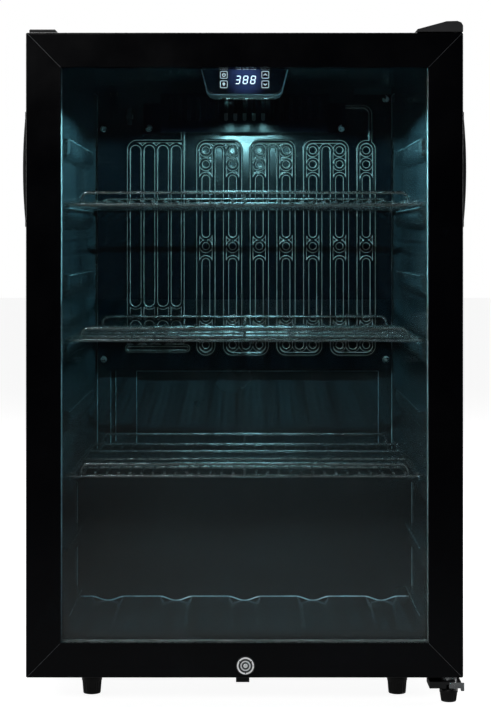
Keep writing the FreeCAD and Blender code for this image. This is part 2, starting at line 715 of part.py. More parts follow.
def door_stop_clip():
    """The small zinc-plated hook at the front of the lower bracket that stops the door."""
    low, top = 17.5, CAB_BOTTOM - BRACKET_SHEET
    face = box(225.0, 238.0, -246.0, -244.2, low, CAB_BOTTOM)
    hook = box(238.0, 241.5, -246.0, -244.2, 14.6, CAB_BOTTOM - 0.5)
    toe = box(238.0, 241.5, -246.0, -240.0, 14.6, 16.4)
    tail = box(225.0, 237.0, -246.0, -240.0, low, low + 1.8)
    rivet = rod(2.2, (231.0, -246.8, (low + top) / 2), (231.0, -244.2, (low + top) / 2))
    strap = box(226.0, 237.0, -246.0, -244.0, top, CAB_BOTTOM)
    return union([face, hook, toe, tail, rivet, strap])


def hinge_bushes():
    """The two plastic bushes in the door that turn on the pins."""
    bore = HINGE_PIN_R + RUNNING
    spans = ((DOOR_TOP - BUSH_LENGTH, DOOR_TOP), (DOOR_BOTTOM, DOOR_BOTTOM + BUSH_LENGTH))
    return [tube(BUSH_R, bore, (HINGE_X, HINGE_Y, z0), (HINGE_X, HINGE_Y, z1)) for z0, z1 in spans]


def hinge_hole_cover():
    """The cap on the door's top left corner, over the hinge hole for the other hand."""
    plate = box(-237.0, -208.0, -242.0, -216.0, DOOR_TOP, DOOR_TOP + 4.4)
    edges = [e for e in plate.Edges if abs(e.BoundBox.ZMax - e.BoundBox.ZMin) < 0.01
             and e.BoundBox.ZMin > DOOR_TOP + 1]
    return plate.makeFillet(1.5, edges)


# ---- door ------------------------------------------------------------------------------------
def frame_block(inset, y0, y1):
    """A block that is the door's outline pulled in all round."""
    return box(-HALF_WIDTH + inset, HALF_WIDTH - inset, y0, y1, DOOR_BOTTOM + inset, DOOR_TOP - inset)


def door_ring():
    """The whole door frame before it is cut into four mitred bars."""
    y0, y1 = DOOR_FRONT, DOOR_REAR
    outer = frame_block(0, y0, y1)
    outer = outer.makeFillet(1.8, [e for e in outer.Edges if e.BoundBox.YMin < y0 + 0.1])
    ring = outer.cut(frame_block(FRAME_WIDTH, y0 - 1, y1 + 1))
    groove_end = y0 + FRAME_LIP + 2 * PANE + PANE_GAP + 0.4
    ring = ring.cut(frame_block(FRAME_WIDTH - GLASS_BITE - 0.4, y0 + FRAME_LIP, groove_end))
    seat = GLASS_HALF + 5.0
    slot = box(-seat - 4, seat + 4, y1 - 5, y1 + 1, GLASS_BOTTOM - 9, GLASS_TOP + 9)
    slot = slot.cut(box(-seat, seat, y1 - 6, y1 + 2, GLASS_BOTTOM - 5, GLASS_TOP + 5))
    ring = ring.cut(slot)
    wall, far = 2.5, FRAME_WIDTH - GLASS_BITE - 3.0
    length_z, length_x = (DOOR_BOTTOM + 46, DOOR_TOP - 46), HALF_WIDTH - 46
    for side in (-1, 1):
        xs = sorted((side * (HALF_WIDTH - wall), side * (HALF_WIDTH - far)))
        ring = ring.cut(box(*xs, y0 + wall, y1 - wall - 4, *length_z))
    for z0, z1 in ((DOOR_BOTTOM + wall, DOOR_BOTTOM + far), (DOOR_TOP - far, DOOR_TOP - wall)):
        ring = ring.cut(box(-length_x, length_x, y0 + wall, y1 - wall - 4, z0, z1))
    for z0, z1 in ((DOOR_TOP - BUSH_LENGTH, DOOR_TOP + 1), (DOOR_BOTTOM - 1, DOOR_BOTTOM + BUSH_LENGTH)):
        ring = ring.cut(rod(BUSH_R, (HINGE_X, HINGE_Y, z0), (HINGE_X, HINGE_Y, z1)))
    return ring


def mitre_wedges():
    """The four wedges that cut the frame at its corners, by bar name."""
    x0, x1, z0, z1 = -HALF_WIDTH - 5, HALF_WIDTH + 5, DOOR_BOTTOM - 5, DOOR_TOP + 5
    reach = 60.0
    corners = {"low_left": (x0, z0), "low_right": (x1, z0), "top_right": (x1, z1), "top_left": (x0, z1)}
    inner = {"low_left": (x0 + reach, z0 + reach), "low_right": (x1 - reach, z0 + reach),
             "top_right": (x1 - reach, z1 - reach), "top_left": (x0 + reach, z1 - reach)}
    sides = {"door_bottom_rail": ("low_left", "low_right"), "door_right_stile": ("low_right", "top_right"),
             "door_top_rail": ("top_right", "top_left"), "door_left_stile": ("top_left", "low_left")}
    return {name: prism_xz([corners[a], corners[b], inner[b], inner[a]], DOOR_FRONT - 5, DOOR_REAR + 5)
            for name, (a, b) in sides.items()}


def lock_cuts():
    """The lock's hole in the front of the bottom rail and the cam's slot in its underside."""
    hole = rod(LOCK_BARREL_R, (LOCK_X, DOOR_FRONT - 1, LOCK_Z), (LOCK_X, DOOR_FRONT + 8, LOCK_Z))
    slot = box(LOCK_X - CAM_REACH - 2, LOCK_X + CAM_WIDTH / 2 + 1.5, CAM_FRONT - 1.5,
               CAM_FRONT + CAM_SHEET + 1.5, DOOR_BOTTOM - 1, DOOR_BOTTOM + 4)
    return [hole, slot]


def grip_pocket():
    """The pocket in the right stile that takes the grip's cup."""
    return box(HALF_WIDTH - GRIP_DEPTH, HALF_WIDTH + 1, GRIP_REAR_Y - 19.0, GRIP_REAR_Y - 1.0,
               GRIP_BOTTOM + 9, GRIP_TOP - 9)


def door_bars():
    """The four mitred bars with their pockets, by name."""
    ring = door_ring().cut(Part.makeCompound(lock_cuts() + both_sides(grip_pocket())))
    return {name: ring.common(wedge) for name, wedge in mitre_wedges().items()}


def pane(front):
    """One sheet of glass."""
    inset = FRAME_WIDTH - GLASS_BITE
    return frame_block(inset, front, front + PANE)


def pane_spacer():
    """The aluminium bar between the panes."""
    y0 = OUTER_PANE + PANE
    inset = FRAME_WIDTH - GLASS_BITE + 1.0
    return frame_block(inset, y0, y0 + PANE_GAP).cut(frame_block(inset + 6.5, y0 - 1, y0 + PANE_GAP + 1))


def door_gasket():
    """The magnetic seal: a soft ring with a tongue in the frame's groove."""
    y0, y1 = DOOR_REAR, CAB_FRONT - GASKET_GAP
    seat = GLASS_HALF + 5.0
    low, high = GLASS_BOTTOM - 5, GLASS_TOP + 5
    body = box(-seat - GASKET_WIDTH, seat + GASKET_WIDTH, y0, y1, low - GASKET_WIDTH, high + GASKET_WIDTH)
    body = body.cut(box(-seat, seat, y0 - 1, y1 + 1, low, high))
    tongue = box(-seat - 3.8, seat + 3.8, y0 - 4.5, y0, low - 3.8, high + 3.8)
    tongue = tongue.cut(box(-seat - 0.2, seat + 0.2, y0 - 6, y0 + 1, low - 0.2, high + 0.2))
    return union([body, tongue])


def side_grip():
    """The right grip: a cup in the stile, a thin flange and a bowed lip along the front."""
    x0 = HALF_WIDTH
    y1 = GRIP_REAR_Y
    flange = box(x0, x0 + GRIP_PLATE, y1 - 22.0, y1, GRIP_BOTTOM + 3, GRIP_TOP - 3)
    middle = (GRIP_BOTTOM + GRIP_TOP) / 2
    ends = [V(x0, y1 - 24.0, GRIP_TOP), V(x0 + GRIP_PROUD, y1 - 24.0, middle), V(x0, y1 - 24.0, GRIP_BOTTOM)]
    bow = Part.Wire([Part.Arc(*ends).toShape(), Part.LineSegment(ends[2], ends[0]).toShape()])
    lip = Part.Face(bow).extrude(BACK * 5.0)
    depth = GRIP_DEPTH - 0.1
    cup = box(x0 - depth, x0 + GRIP_PLATE, y1 - 18.9, y1 - 1.1, GRIP_BOTTOM + 9.1, GRIP_TOP - 9.1)
    hollow = box(x0 - depth + 1.5, x0 + 10, y1 - 17.4, y1 - 2.6, GRIP_BOTTOM + 10.6, GRIP_TOP - 10.6)
    return union([flange, lip, cup]).cut(hollow)


# ---- lock ------------------------------------------------------------------------------------
def lock_escutcheon():
    """The thin black ring behind the lock's chrome flange."""
    return tube(LOCK_RING_R, LOCK_BARREL_R, (LOCK_X, DOOR_FRONT - 0.8, LOCK_Z), (LOCK_X, DOOR_FRONT, LOCK_Z))


def lock_body():
    """The chrome barrel and flange."""
    y0, y1 = DOOR_FRONT - 1.5, CAM_FRONT - 3.5
    flange = rod(LOCK_FLANGE_R, (LOCK_X, y0, LOCK_Z), (LOCK_X, DOOR_FRONT - 0.8, LOCK_Z))
    barrel = rod(LOCK_BARREL_R, (LOCK_X, y0, LOCK_Z), (LOCK_X, y1, LOCK_Z))
    bore = rod(LOCK_PLUG_R + RUNNING, (LOCK_X, y0 - 1, LOCK_Z), (LOCK_X, y1 + 1, LOCK_Z))
    return union([flange, barrel]).cut(bore)


def lock_nut():
    """The hexagonal nut that clamps the lock in the rail."""
    radius = 11.0
    y0 = DOOR_FRONT + 2.5
    points = [(LOCK_X + radius * math.cos(math.radians(60 * k)),
               LOCK_Z + radius * math.sin(math.radians(60 * k))) for k in range(6)]
    nut = prism_xz(points, y0, y0 + 4.0)
    return nut.cut(rod(LOCK_BARREL_R, (LOCK_X, y0 - 1, LOCK_Z), (LOCK_X, y0 + 5, LOCK_Z)))


def lock_plug():
    """The turning plug, with a ring-shaped keyway round a centre post and a notch at the top."""
    y0, y1 = DOOR_FRONT - 1.2, CAM_FRONT
    plug = rod(LOCK_PLUG_R, (LOCK_X, y0, LOCK_Z), (LOCK_X, y1, LOCK_Z))
    keyway = tube(4.6, 2.9, (LOCK_X, y0 - 1, LOCK_Z), (LOCK_X, y0 + 6, LOCK_Z))
    notch = box(LOCK_X - 0.9, LOCK_X + 0.9, y0 - 1, y0 + 3, LOCK_Z + 4, LOCK_Z + 7)
    return plug.cut(keyway).cut(notch)


def lock_cam():
    """The flat cam on the plug; it points left when unlocked and down when locked."""
    y0, y1 = CAM_FRONT, CAM_FRONT + CAM_SHEET
    hub = rod(6.0, (LOCK_X, y0, LOCK_Z), (LOCK_X, y1, LOCK_Z))
    half = CAM_WIDTH / 2
    tip = math.sqrt(CAM_REACH ** 2 - half ** 2)
    arm = box(LOCK_X - tip, LOCK_X, y0, y1, LOCK_Z - half, LOCK_Z + half)
    screw = rod(3.0, (LOCK_X, y1, LOCK_Z), (LOCK_X, y1 + 2.5, LOCK_Z))
    return union([hub, arm, screw])


def lock_strike():
    """The keeper under the cabinet: a strap forward to an upright tab that the cam drops behind."""
    x0, x1 = -9.5, 5.3
    z0, z1 = CAB_BOTTOM - STRIKE_SHEET, CAB_BOTTOM
    strap = box(x0, x1, -237.0, -160.0, z0, z1)
    tab = prism_xz([(x0 + 3, z0), (x1, z0), (x1, z1 + 4), (x0, z1 + 4), (x0, z0 + 3)], -237.0, -233.5)
    strike = union([strap, tab])
    for y in (-190.0, -170.0):
        strike = strike.cut(rod(2.1, (-2.0, y, 0), (-2.0, y, 60)))
    return strike


def strike_screws():
    """Two screws that hold the keeper."""
    z = CAB_BOTTOM - STRIKE_SHEET
    return [pan_screw(-2.0, y, z, UP, head_r=4.0, head_h=2.2, shank=STRIKE_SHEET - 0.1)
            for y in (-190.0, -170.0)]


# ---- shelves ---------------------------------------------------------------------------------
def guard_rail(y, z):
    """A raised rail on one edge of a shelf, with round corners and a post in the middle."""
    top = z + GUARD_RISE
    path = [(-GUARD_HALF, y, z), (-GUARD_HALF, y, top), (GUARD_HALF, y, top), (GUARD_HALF, y, z)]
    rail = bent_rod(path, GUARD_R, 8.0)
    return [rail, rod(GUARD_R, (0, y, z), (0, y, top))]


def wire_shelf(ledge_top):
    """One welded wire shelf resting on a pair of ledges."""
    z = ledge_top + SHELF_CLEARANCE + SHELF_BAR_R
    bars = [rod(SHELF_BAR_R, (side * SHELF_HALF, SHELF_FRONT - 2, z), (side * SHELF_HALF, SHELF_REAR + 2, z))
            for side in (-1, 1)]
    for index in range(5):
        y = SHELF_FRONT + index * (SHELF_REAR - SHELF_FRONT) / 4
        bars.append(rod(SHELF_BAR_R - 0.2, (-SHELF_HALF, y, z), (SHELF_HALF, y, z)))
    wire_z = z + SHELF_BAR_R + SHELF_WIRE_R - 0.6
    middle = (SHELF_WIRE_COUNT - 1) / 2
    for index in range(SHELF_WIRE_COUNT):
        x = (index - middle) * SHELF_WIRE_PITCH
        bars.append(rod(SHELF_WIRE_R, (x, SHELF_FRONT - 2, wire_z), (x, SHELF_REAR + 2, wire_z)))
    bars += guard_rail(SHELF_FRONT, z) + guard_rail(SHELF_REAR, z)
    return union(bars)


# ---- feet and base ---------------------------------------------------------------------------
def levelling_foot(x, y, stud_top):
    """A tapered plastic foot on its threaded stud."""
    foot = lathe([(0, 0), (8.6, 0), (9.85, 1.2), (10.9, 14.0), (11.4, 15.0), (11.4, FOOT_TOP - 0.8),
                  (10.6, FOOT_TOP), (FOOT_STUD_R, FOOT_TOP), (FOOT_STUD_R, stud_top), (0, stud_top)], x, y)
    return foot


def foot_nuts():
    """The threaded sleeves that the feet screw into."""
    bore = FOOT_STUD_R + RUNNING
    front = CAB_BOTTOM + 1.2
    rear = CAB_BOTTOM + BASE_PLATE
    nuts = [tube(7.0, bore, (side * FOOT_X, FOOT_FRONT_Y, front), (side * FOOT_X, FOOT_FRONT_Y, front + 15.5))
            for side in (-1, 1)]
    nuts += [tube(7.0, bore, (side * FOOT_X, FOOT_REAR_Y, rear), (side * FOOT_X, FOOT_REAR_Y, rear + 9))
             for side in (-1, 1)]
    return nuts


def hinge_foot():
    """The small foot under the lower hinge, on the axis of the door."""
    return lathe([(0, 0), (6.6, 0), (7.6, 1.0), (9.4, 9.0), (10.2, 10.0), (10.2, 14.4), (HINGE_PIN_R, 14.4),
                  (HINGE_PIN_R, CAB_BOTTOM - BRACKET_SHEET), (0, CAB_BOTTOM - BRACKET_SHEET)],
                 HINGE_X, HINGE_Y)


def grommet_places():
    """The four fixing points of the compressor: x, y."""
    return [(COMPRESSOR_X + i * GROMMET_X, COMPRESSOR_Y + j * GROMMET_Y) for i in (-1, 1) for j in (-1, 1)]


def compressor_base_plate():
    """The steel plate that carries the compressor and the rear feet."""
    z0, z1 = CAB_BOTTOM, CAB_BOTTOM + BASE_PLATE
    plate = box(-INNER_HALF, INNER_HALF, MACHINE_FRONT + 0.1, INNER_BACK, z0, z1)
    lip = box(-INNER_HALF + 13, INNER_HALF - 13, INNER_BACK - SHEET, INNER_BACK, z0, z1 + 10)
    plate = union([plate, lip])
    for side in (-1, 1):
        plate = plate.cut(rod(FOOT_STUD_R + 0.3, (side * FOOT_X, FOOT_REAR_Y, 0), (side * FOOT_X, FOOT_REAR_Y, 60)))
    return plate


def compressor():
    """The hermetic compressor: a two-part welded shell, its mounting plate and three tube stubs."""
    base = CAB_BOTTOM + BASE_PLATE + 11.0
    profile = [(0, base + 6), (40, base + 6), (50, base + 14), (52, base + 30), (52, base + 52), (55, base + 52),
               (55, base + 56), (52, base + 56), (51, base + 78), (45, base + 92), (28, base + 101),
               (0, base + 103)]
    shell = lathe(profile, COMPRESSOR_X, COMPRESSOR_Y)
    plate = box(COMPRESSOR_X - GROMMET_X - 12, COMPRESSOR_X + GROMMET_X + 12, COMPRESSOR_Y - GROMMET_Y - 12,
                COMPRESSOR_Y + GROMMET_Y + 12, base, base + 2.5)
    for x, y in grommet_places():
        plate = plate.cut(rod(6.0, (x, y, base - 1), (x, y, base + 4)))
    neck = rod(38, (COMPRESSOR_X, COMPRESSOR_Y, base + 1), (COMPRESSOR_X, COMPRESSOR_Y, base + 10))
    stubs = [rod(3.5, (COMPRESSOR_X - 45, COMPRESSOR_Y + k * 12, base + 70),
                 (COMPRESSOR_X - 68, COMPRESSOR_Y + k * 12, base + 70)) for k in (-1, 1)]
    return union([shell, neck, plate] + stubs)


def compressor_grommets():
    """Four rubber sleeves under the compressor's mounting plate."""
    z0 = CAB_BOTTOM + BASE_PLATE
    sleeves = []
    for x, y in grommet_places():
        low = tube(10.0, 3.2, (x, y, z0), (x, y, z0 + 11.0))
        neck = tube(5.9, 3.2, (x, y, z0 + 11.0), (x, y, z0 + 15.0))
        sleeves.append(union([low, neck]))
    return sleeves


def compressor_bolts():
    """The bolts down through the grommets, each with a wide head."""
    z0 = CAB_BOTTOM + BASE_PLATE
    return [union([rod(3.1, (x, y, z0), (x, y, z0 + 15.0)), rod(7.5, (x, y, z0 + 15.0), (x, y, z0 + 19.0))])
            for x, y in grommet_places()]


def terminal_cover():
    """The plastic cover over the compressor's terminals and starting relay."""
    x0, z0 = COMPRESSOR_X + 52.3, CAB_BOTTOM + 52
    cover = box(x0, x0 + 30, COMPRESSOR_Y - 24, COMPRESSOR_Y + 24, z0, z0 + 52)
    hollow = box(x0 - 1, x0 + 28, COMPRESSOR_Y - 22, COMPRESSOR_Y + 22, z0 + 2, z0 + 50)
    return cover.cut(hollow).cut(rod(55.4, (COMPRESSOR_X, COMPRESSOR_Y, z0 - 5), (COMPRESSOR_X, COMPRESSOR_Y, 200)))


def drip_tray():
    """The defrost water tray that sits over the compressor."""
    z0 = CAB_BOTTOM + BASE_PLATE + 11.0 + 103.5
    tray = box(COMPRESSOR_X - 52, COMPRESSOR_X + 52, COMPRESSOR_Y - 46, COMPRESSOR_Y + 46, z0, z0 + 20)
    hollow = box(COMPRESSOR_X - 50, COMPRESSOR_X + 50, COMPRESSOR_Y - 44, COMPRESSOR_Y + 44, z0 + 2, z0 + 21)
    return tray.cut(hollow)


def suction_pipe():
    """The copper pipe from the compressor up into the insulated wall."""
    base = CAB_BOTTOM + BASE_PLATE + 11.0 + 70
    y = COMPRESSOR_Y - 12
    return bent_rod([(COMPRESSOR_X - 68, y, base), (COMPRESSOR_X - 96, y, base),
                     (COMPRESSOR_X - 96, y, MACHINE_TOP - 1.4)], 3.5, 16.0)


def discharge_pipe():
    """The copper pipe from the compressor out to the condenser."""
    base = CAB_BOTTOM + BASE_PLATE + 11.0 + 70
    y = COMPRESSOR_Y + 12
    return bent_rod([(COMPRESSOR_X - 68, y, base), (COMPRESSOR_X - 120, y, base),
                     (COMPRESSOR_X - 120, CONDENSER_Y, base + 20),
                     (COMPRESSOR_X - 120, CONDENSER_Y, CONDENSER_BOTTOM - 30)], CONDENSER_TUBE_R, 14.0)


def filter_drier():
    """The copper filter drier between the condenser and the capillary."""
    x, y = -110.0, 180.0
    return lathe([(0, 60), (2.4, 60), (2.4, 72), (9.0, 80), (9.0, 140), (2.4, 150), (2.4, 162), (0, 162)], x, y)


def drier_clip():
    """The clip that holds the filter drier to the rear lip of the base."""
    x, y = -110.0, 180.0
    ring = tube(11.0, 9.0, (x, y, 100), (x, y, 112))
    leg = box(x - 6, x + 6, y + 9.6, y + 11.2, CAB_BOTTOM + BASE_PLATE, 112)
    return union([ring, leg])


def junction_box():
    """The mains terminal box on the base plate."""
    z0 = CAB_BOTTOM + BASE_PLATE
    case = box(-226.0, -150.0, 100.0, 160.0, z0, z0 + 34)
    edges = [e for e in case.Edges if e.BoundBox.ZMin > z0 + 33]
    return case.makeFillet(2.5, edges)


def cord_gland():
    """The gland for the mains cord, in the rear lip of the base plate."""
    x, z = -205.0, CAB_BOTTOM + BASE_PLATE + 22
    plate = box(x - 16, x + 16, INNER_BACK - SHEET - 3.2, INNER_BACK - SHEET - 0.1, CAB_BOTTOM + BASE_PLATE, z + 14)
    body = rod(9.0, (x, INNER_BACK - 12, z), (x, CAB_BACK + 6, z))
    bore = rod(3.6, (x, INNER_BACK - 20, z), (x, CAB_BACK + 20, z))
    return union([plate, body]).cut(bore)


# ---- condenser -------------------------------------------------------------------------------
def condenser_tube():
    """The serpentine tube of the condenser, behind the rear panel."""
    half, bend = CONDENSER_HALF, CONDENSER_PITCH / 2
    points = [(COMPRESSOR_X - 120, CONDENSER_Y, CONDENSER_BOTTOM - 30),
              (COMPRESSOR_X - 120, CONDENSER_Y, CONDENSER_BOTTOM)]
    side = 1
    for run in range(CONDENSER_RUNS):
        z = CONDENSER_BOTTOM + run * CONDENSER_PITCH
        points.append((side * half, CONDENSER_Y, z))
        if run < CONDENSER_RUNS - 1:
            points.append((side * half, CONDENSER_Y, z + CONDENSER_PITCH))
            side = -side
    return bent_rod(points, CONDENSER_TUBE_R, bend - 0.5)


def condenser_wires():
    """The upright cooling wires on both faces of the serpentine."""
    wires = []
    low, high = CONDENSER_BOTTOM - 12, CONDENSER_BOTTOM + (CONDENSER_RUNS - 1) * CONDENSER_PITCH + 12
    offset = CONDENSER_TUBE_R + 0.8
    for index in range(-10, 11):
        for face in (-1, 1):
            at = (index * 14.0 - 4.0, CONDENSER_Y + face * offset)
            wires.append(rod(0.8, (*at, low), (*at, high)))
    return wires


def condenser_brackets():
    """Four plastic feet that hold the condenser off the rear panel."""
    feet = []
    for side in (-1, 1):
        for run in (1, CONDENSER_RUNS - 2):
            z = CONDENSER_BOTTOM + run * CONDENSER_PITCH
            x = side * 160.0
            foot = box(x - 7, x + 7, CAB_BACK - SHEET, CONDENSER_Y + 5, z - 9, z + 9)
            foot = foot.cut(rod(CONDENSER_TUBE_R, (x - 20, CONDENSER_Y, z), (x + 20, CONDENSER_Y, z)))
            feet.append(foot)
    return feet


def rear_spacers():
    """Two buffers that keep the cabinet off the wall."""
    buffers = []
    for side in (-1, 1):
        x = side * 226.0
        block = box(x - 10, x + 10, CAB_BACK, REAR_LIMIT, 690.0, 730.0)
        edges = [e for e in block.Edges if e.BoundBox.YMin > REAR_LIMIT - 0.1]
        buffers.append(block.makeFillet(4.0, edges))
    return buffers


# ---- everything ------------------------------------------------------------------------------
def nodes():
    """Every node's name and its shape or shapes."""
    parts = {
        "outer_cabinet": outer_cabinet(),
        "bottom_panel": bottom_panel(),
        "rear_panel": rear_panel(),
        "liner": liner(),
        "insulation_foam": insulation_foam(),
        "evaporator_plate": evaporator_plate(),
        "evaporator_tubes": evaporator_tubes(),
        "fan_cover": fan_cover(),
        "inner_screws": evaporator_screws() + fan_cover_screws(),
        "fan_frame": fan_frame(),
        "fan_rotor": fan_rotor(),
        "temperature_sensor": temperature_sensor(),
        "control_housing": control_housing(),
        "control_fascia": control_fascia(),
        "display_module": display_module(),
        "control_boards": [control_board(), led_board()],
        "led_lens": led_lens(),
        "upper_hinge_bracket": upper_hinge_bracket(),
        "upper_hinge_cover": upper_hinge_cover(),
        "lower_hinge_bracket": lower_hinge_bracket(),
        "hinge_screws": upper_hinge_screws() + lower_hinge_screws(),
        "lower_hinge_fittings": [lower_hinge_pin(), door_stop_clip()],
        "hinge_bushes": hinge_bushes(),
        "hinge_hole_cover": hinge_hole_cover(),
        "outer_glass_pane": pane(OUTER_PANE),
        "inner_glass_pane": pane(INNER_PANE),
        "pane_spacer": pane_spacer(),
        "door_gasket": door_gasket(),
        "right_grip": side_grip(),
        "left_grip": mirror_x(side_grip()),
        "lock_body": [lock_body(), lock_nut()],
        "lock_escutcheon": lock_escutcheon(),
        "lock_plug": lock_plug(),
        "lock_cam": lock_cam(),
        "lock_strike": [lock_strike()] + strike_screws(),
        "foot_nuts": foot_nuts(),
        "hinge_foot": hinge_foot(),
        "front_left_foot": levelling_foot(-FOOT_X, FOOT_FRONT_Y, CAB_BOTTOM + 14),
        "front_right_foot": levelling_foot(FOOT_X, FOOT_FRONT_Y, CAB_BOTTOM + 14),
        "rear_feet": both_sides(levelling_foot(FOOT_X, FOOT_REAR_Y, CAB_BOTTOM + 10)),
        "compressor_base_plate": compressor_base_plate(),
        "compressor": compressor(),
        "compressor_mounts": compressor_grommets() + compressor_bolts(),
        "terminal_cover": terminal_cover(),
        "refrigerant_pipes": [suction_pipe(), discharge_pipe(), filter_drier(), drier_clip()],
        "mains_inlet": [junction_box(), cord_gland()],
        "drip_tray": drip_tray(),
        "condenser": [condenser_tube()] + condenser_wires(),
        "rear_spacers": rear_spacers() + condenser_brackets(),
    }
    parts.update(door_bars())
    for name, x, z in button_places():
        parts[name] = button(x, z)
    for level, index in zip(("lower", "middle", "upper"), SHELF_LEDGES):
        parts[level + "_shelf"] = wire_shelf(LEDGE_FIRST_TOP + index * LEDGE_PITCH)
    return parts


def write(name, shape):
    """Write one node's STEP file, with a line on its solids."""
    shapes = shape if isinstance(shape, list) else [shape]
    solids = [solid for item in shapes for solid in item.Solids]
    whole = solids[0] if len(solids) == 1 else Part.makeCompound(solids)
    whole.exportStep("parts/" + name + ".step")
    valid = all(solid.isValid() for solid in solids)
    print(f"{name:24s} solids {len(solids):3d} valid {valid} volume {whole.Volume / 1000:9.2f} cm3")


for node_name, node_shape in nodes().items():
    write(node_name, node_shape)
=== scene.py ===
"""Looks of the glass door merchandiser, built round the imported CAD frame. Metres, front towards -Y, up +Z."""
import json
import math

import bpy
import numpy as np
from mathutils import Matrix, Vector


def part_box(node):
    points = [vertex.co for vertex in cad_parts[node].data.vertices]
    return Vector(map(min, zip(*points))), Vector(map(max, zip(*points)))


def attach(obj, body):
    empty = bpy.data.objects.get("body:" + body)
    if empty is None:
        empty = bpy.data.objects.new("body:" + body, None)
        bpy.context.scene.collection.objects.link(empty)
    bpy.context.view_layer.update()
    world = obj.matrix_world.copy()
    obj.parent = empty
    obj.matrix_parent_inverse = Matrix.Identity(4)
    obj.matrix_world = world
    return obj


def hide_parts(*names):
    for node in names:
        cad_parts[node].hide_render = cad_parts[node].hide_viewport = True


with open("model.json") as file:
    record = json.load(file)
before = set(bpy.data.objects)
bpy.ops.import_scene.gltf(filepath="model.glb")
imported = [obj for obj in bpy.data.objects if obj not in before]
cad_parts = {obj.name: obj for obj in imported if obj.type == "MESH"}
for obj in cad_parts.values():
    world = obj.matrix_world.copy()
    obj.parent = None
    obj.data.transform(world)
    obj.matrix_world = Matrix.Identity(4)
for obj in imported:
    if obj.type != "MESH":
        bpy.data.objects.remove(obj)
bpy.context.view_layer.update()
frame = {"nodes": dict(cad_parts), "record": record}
NODES = frame["nodes"]
MM = 0.001
SHARP_ANGLE = math.radians(40)

# ---- the CAD's door opening and liner, and the trim that lies on them ------------------------
OPENING_HALF = 202.0 * MM
OPENING_LOW = 68.0 * MM
OPENING_HIGH = 700.0 * MM
REAR_WALL = 182.0 * MM
STEP_FRONT = 17.0 * MM
STEP_TOP = 233.0 * MM
STEP_HALF = 206.0 * MM
FLOOR_Z = 71.5 * MM
GROOVE_PITCH = 84.0 * MM
GROOVE_DEPTH = 5.0 * MM
GROOVE_TOP_HALF = 20.5 * MM
LEDGE_COUNT = 8
LEDGE_FIRST_TOP = 85.3 * MM
LEDGE_PITCH = 76.95 * MM
LEDGE_NOSE = 197.9 * MM
LEDGE_FRONT = -181.0 * MM
LEDGE_REAR = 157.0 * MM
STRIP_X = 198.0 * MM
STRIP_HALF = 4.6 * MM
STRIP_BOTTOM = 236.0 * MM
STRIP_TOP = 698.0 * MM
RECESS_EDGES = (-176.0 * MM, -169.5 * MM, -142.0 * MM, 176.0 * MM)
RECESS_LOW = 241.0 * MM
RECESS_HIGH = 338.0 * MM

# ---- camera, floor and lamp strip ------------------------------------------------------------
CAMERA_DISTANCE = 2.15
CAMERA_HEIGHT = 0.510
LENS = 98.0
SHIFT_X = 0.0013
SHIFT_Y = -0.1662
FLOOR_SIZE = 30.0
NEAR_GLOW = 0.11
NEAR_GLOW_REACH = (0.2, 1.5)
LAMP_POWER = 5.0
LAMP_CONE = 173.0
LAMP_PITCH = 22.0 * MM
LAMP_RADIUS = 3.5 * MM
LAMP_DROP = 3.0 * MM
EMITTER_PROFILE = ((2.0, 2.2), (2.4, 2.6), (2.4, 4.0), (1.6, 4.6))

# ---- palette ---------------------------------------------------------------------------------
COOL_LIGHT = (0.38, 0.9, 1.0)
EMITTER_COLOUR = (0.72, 0.95, 1.0)
DIGIT_COLOUR = (0.72, 0.84, 1.0)
DISPLAY_BLUE = (0.18, 0.32, 1.0)
DISPLAY_CENTRE = (1.5 * MM, 697.0 * MM)
DISPLAY_GLOW_RADIUS = 32.0 * MM
ICON_GREY = (0.62, 0.68, 0.74)


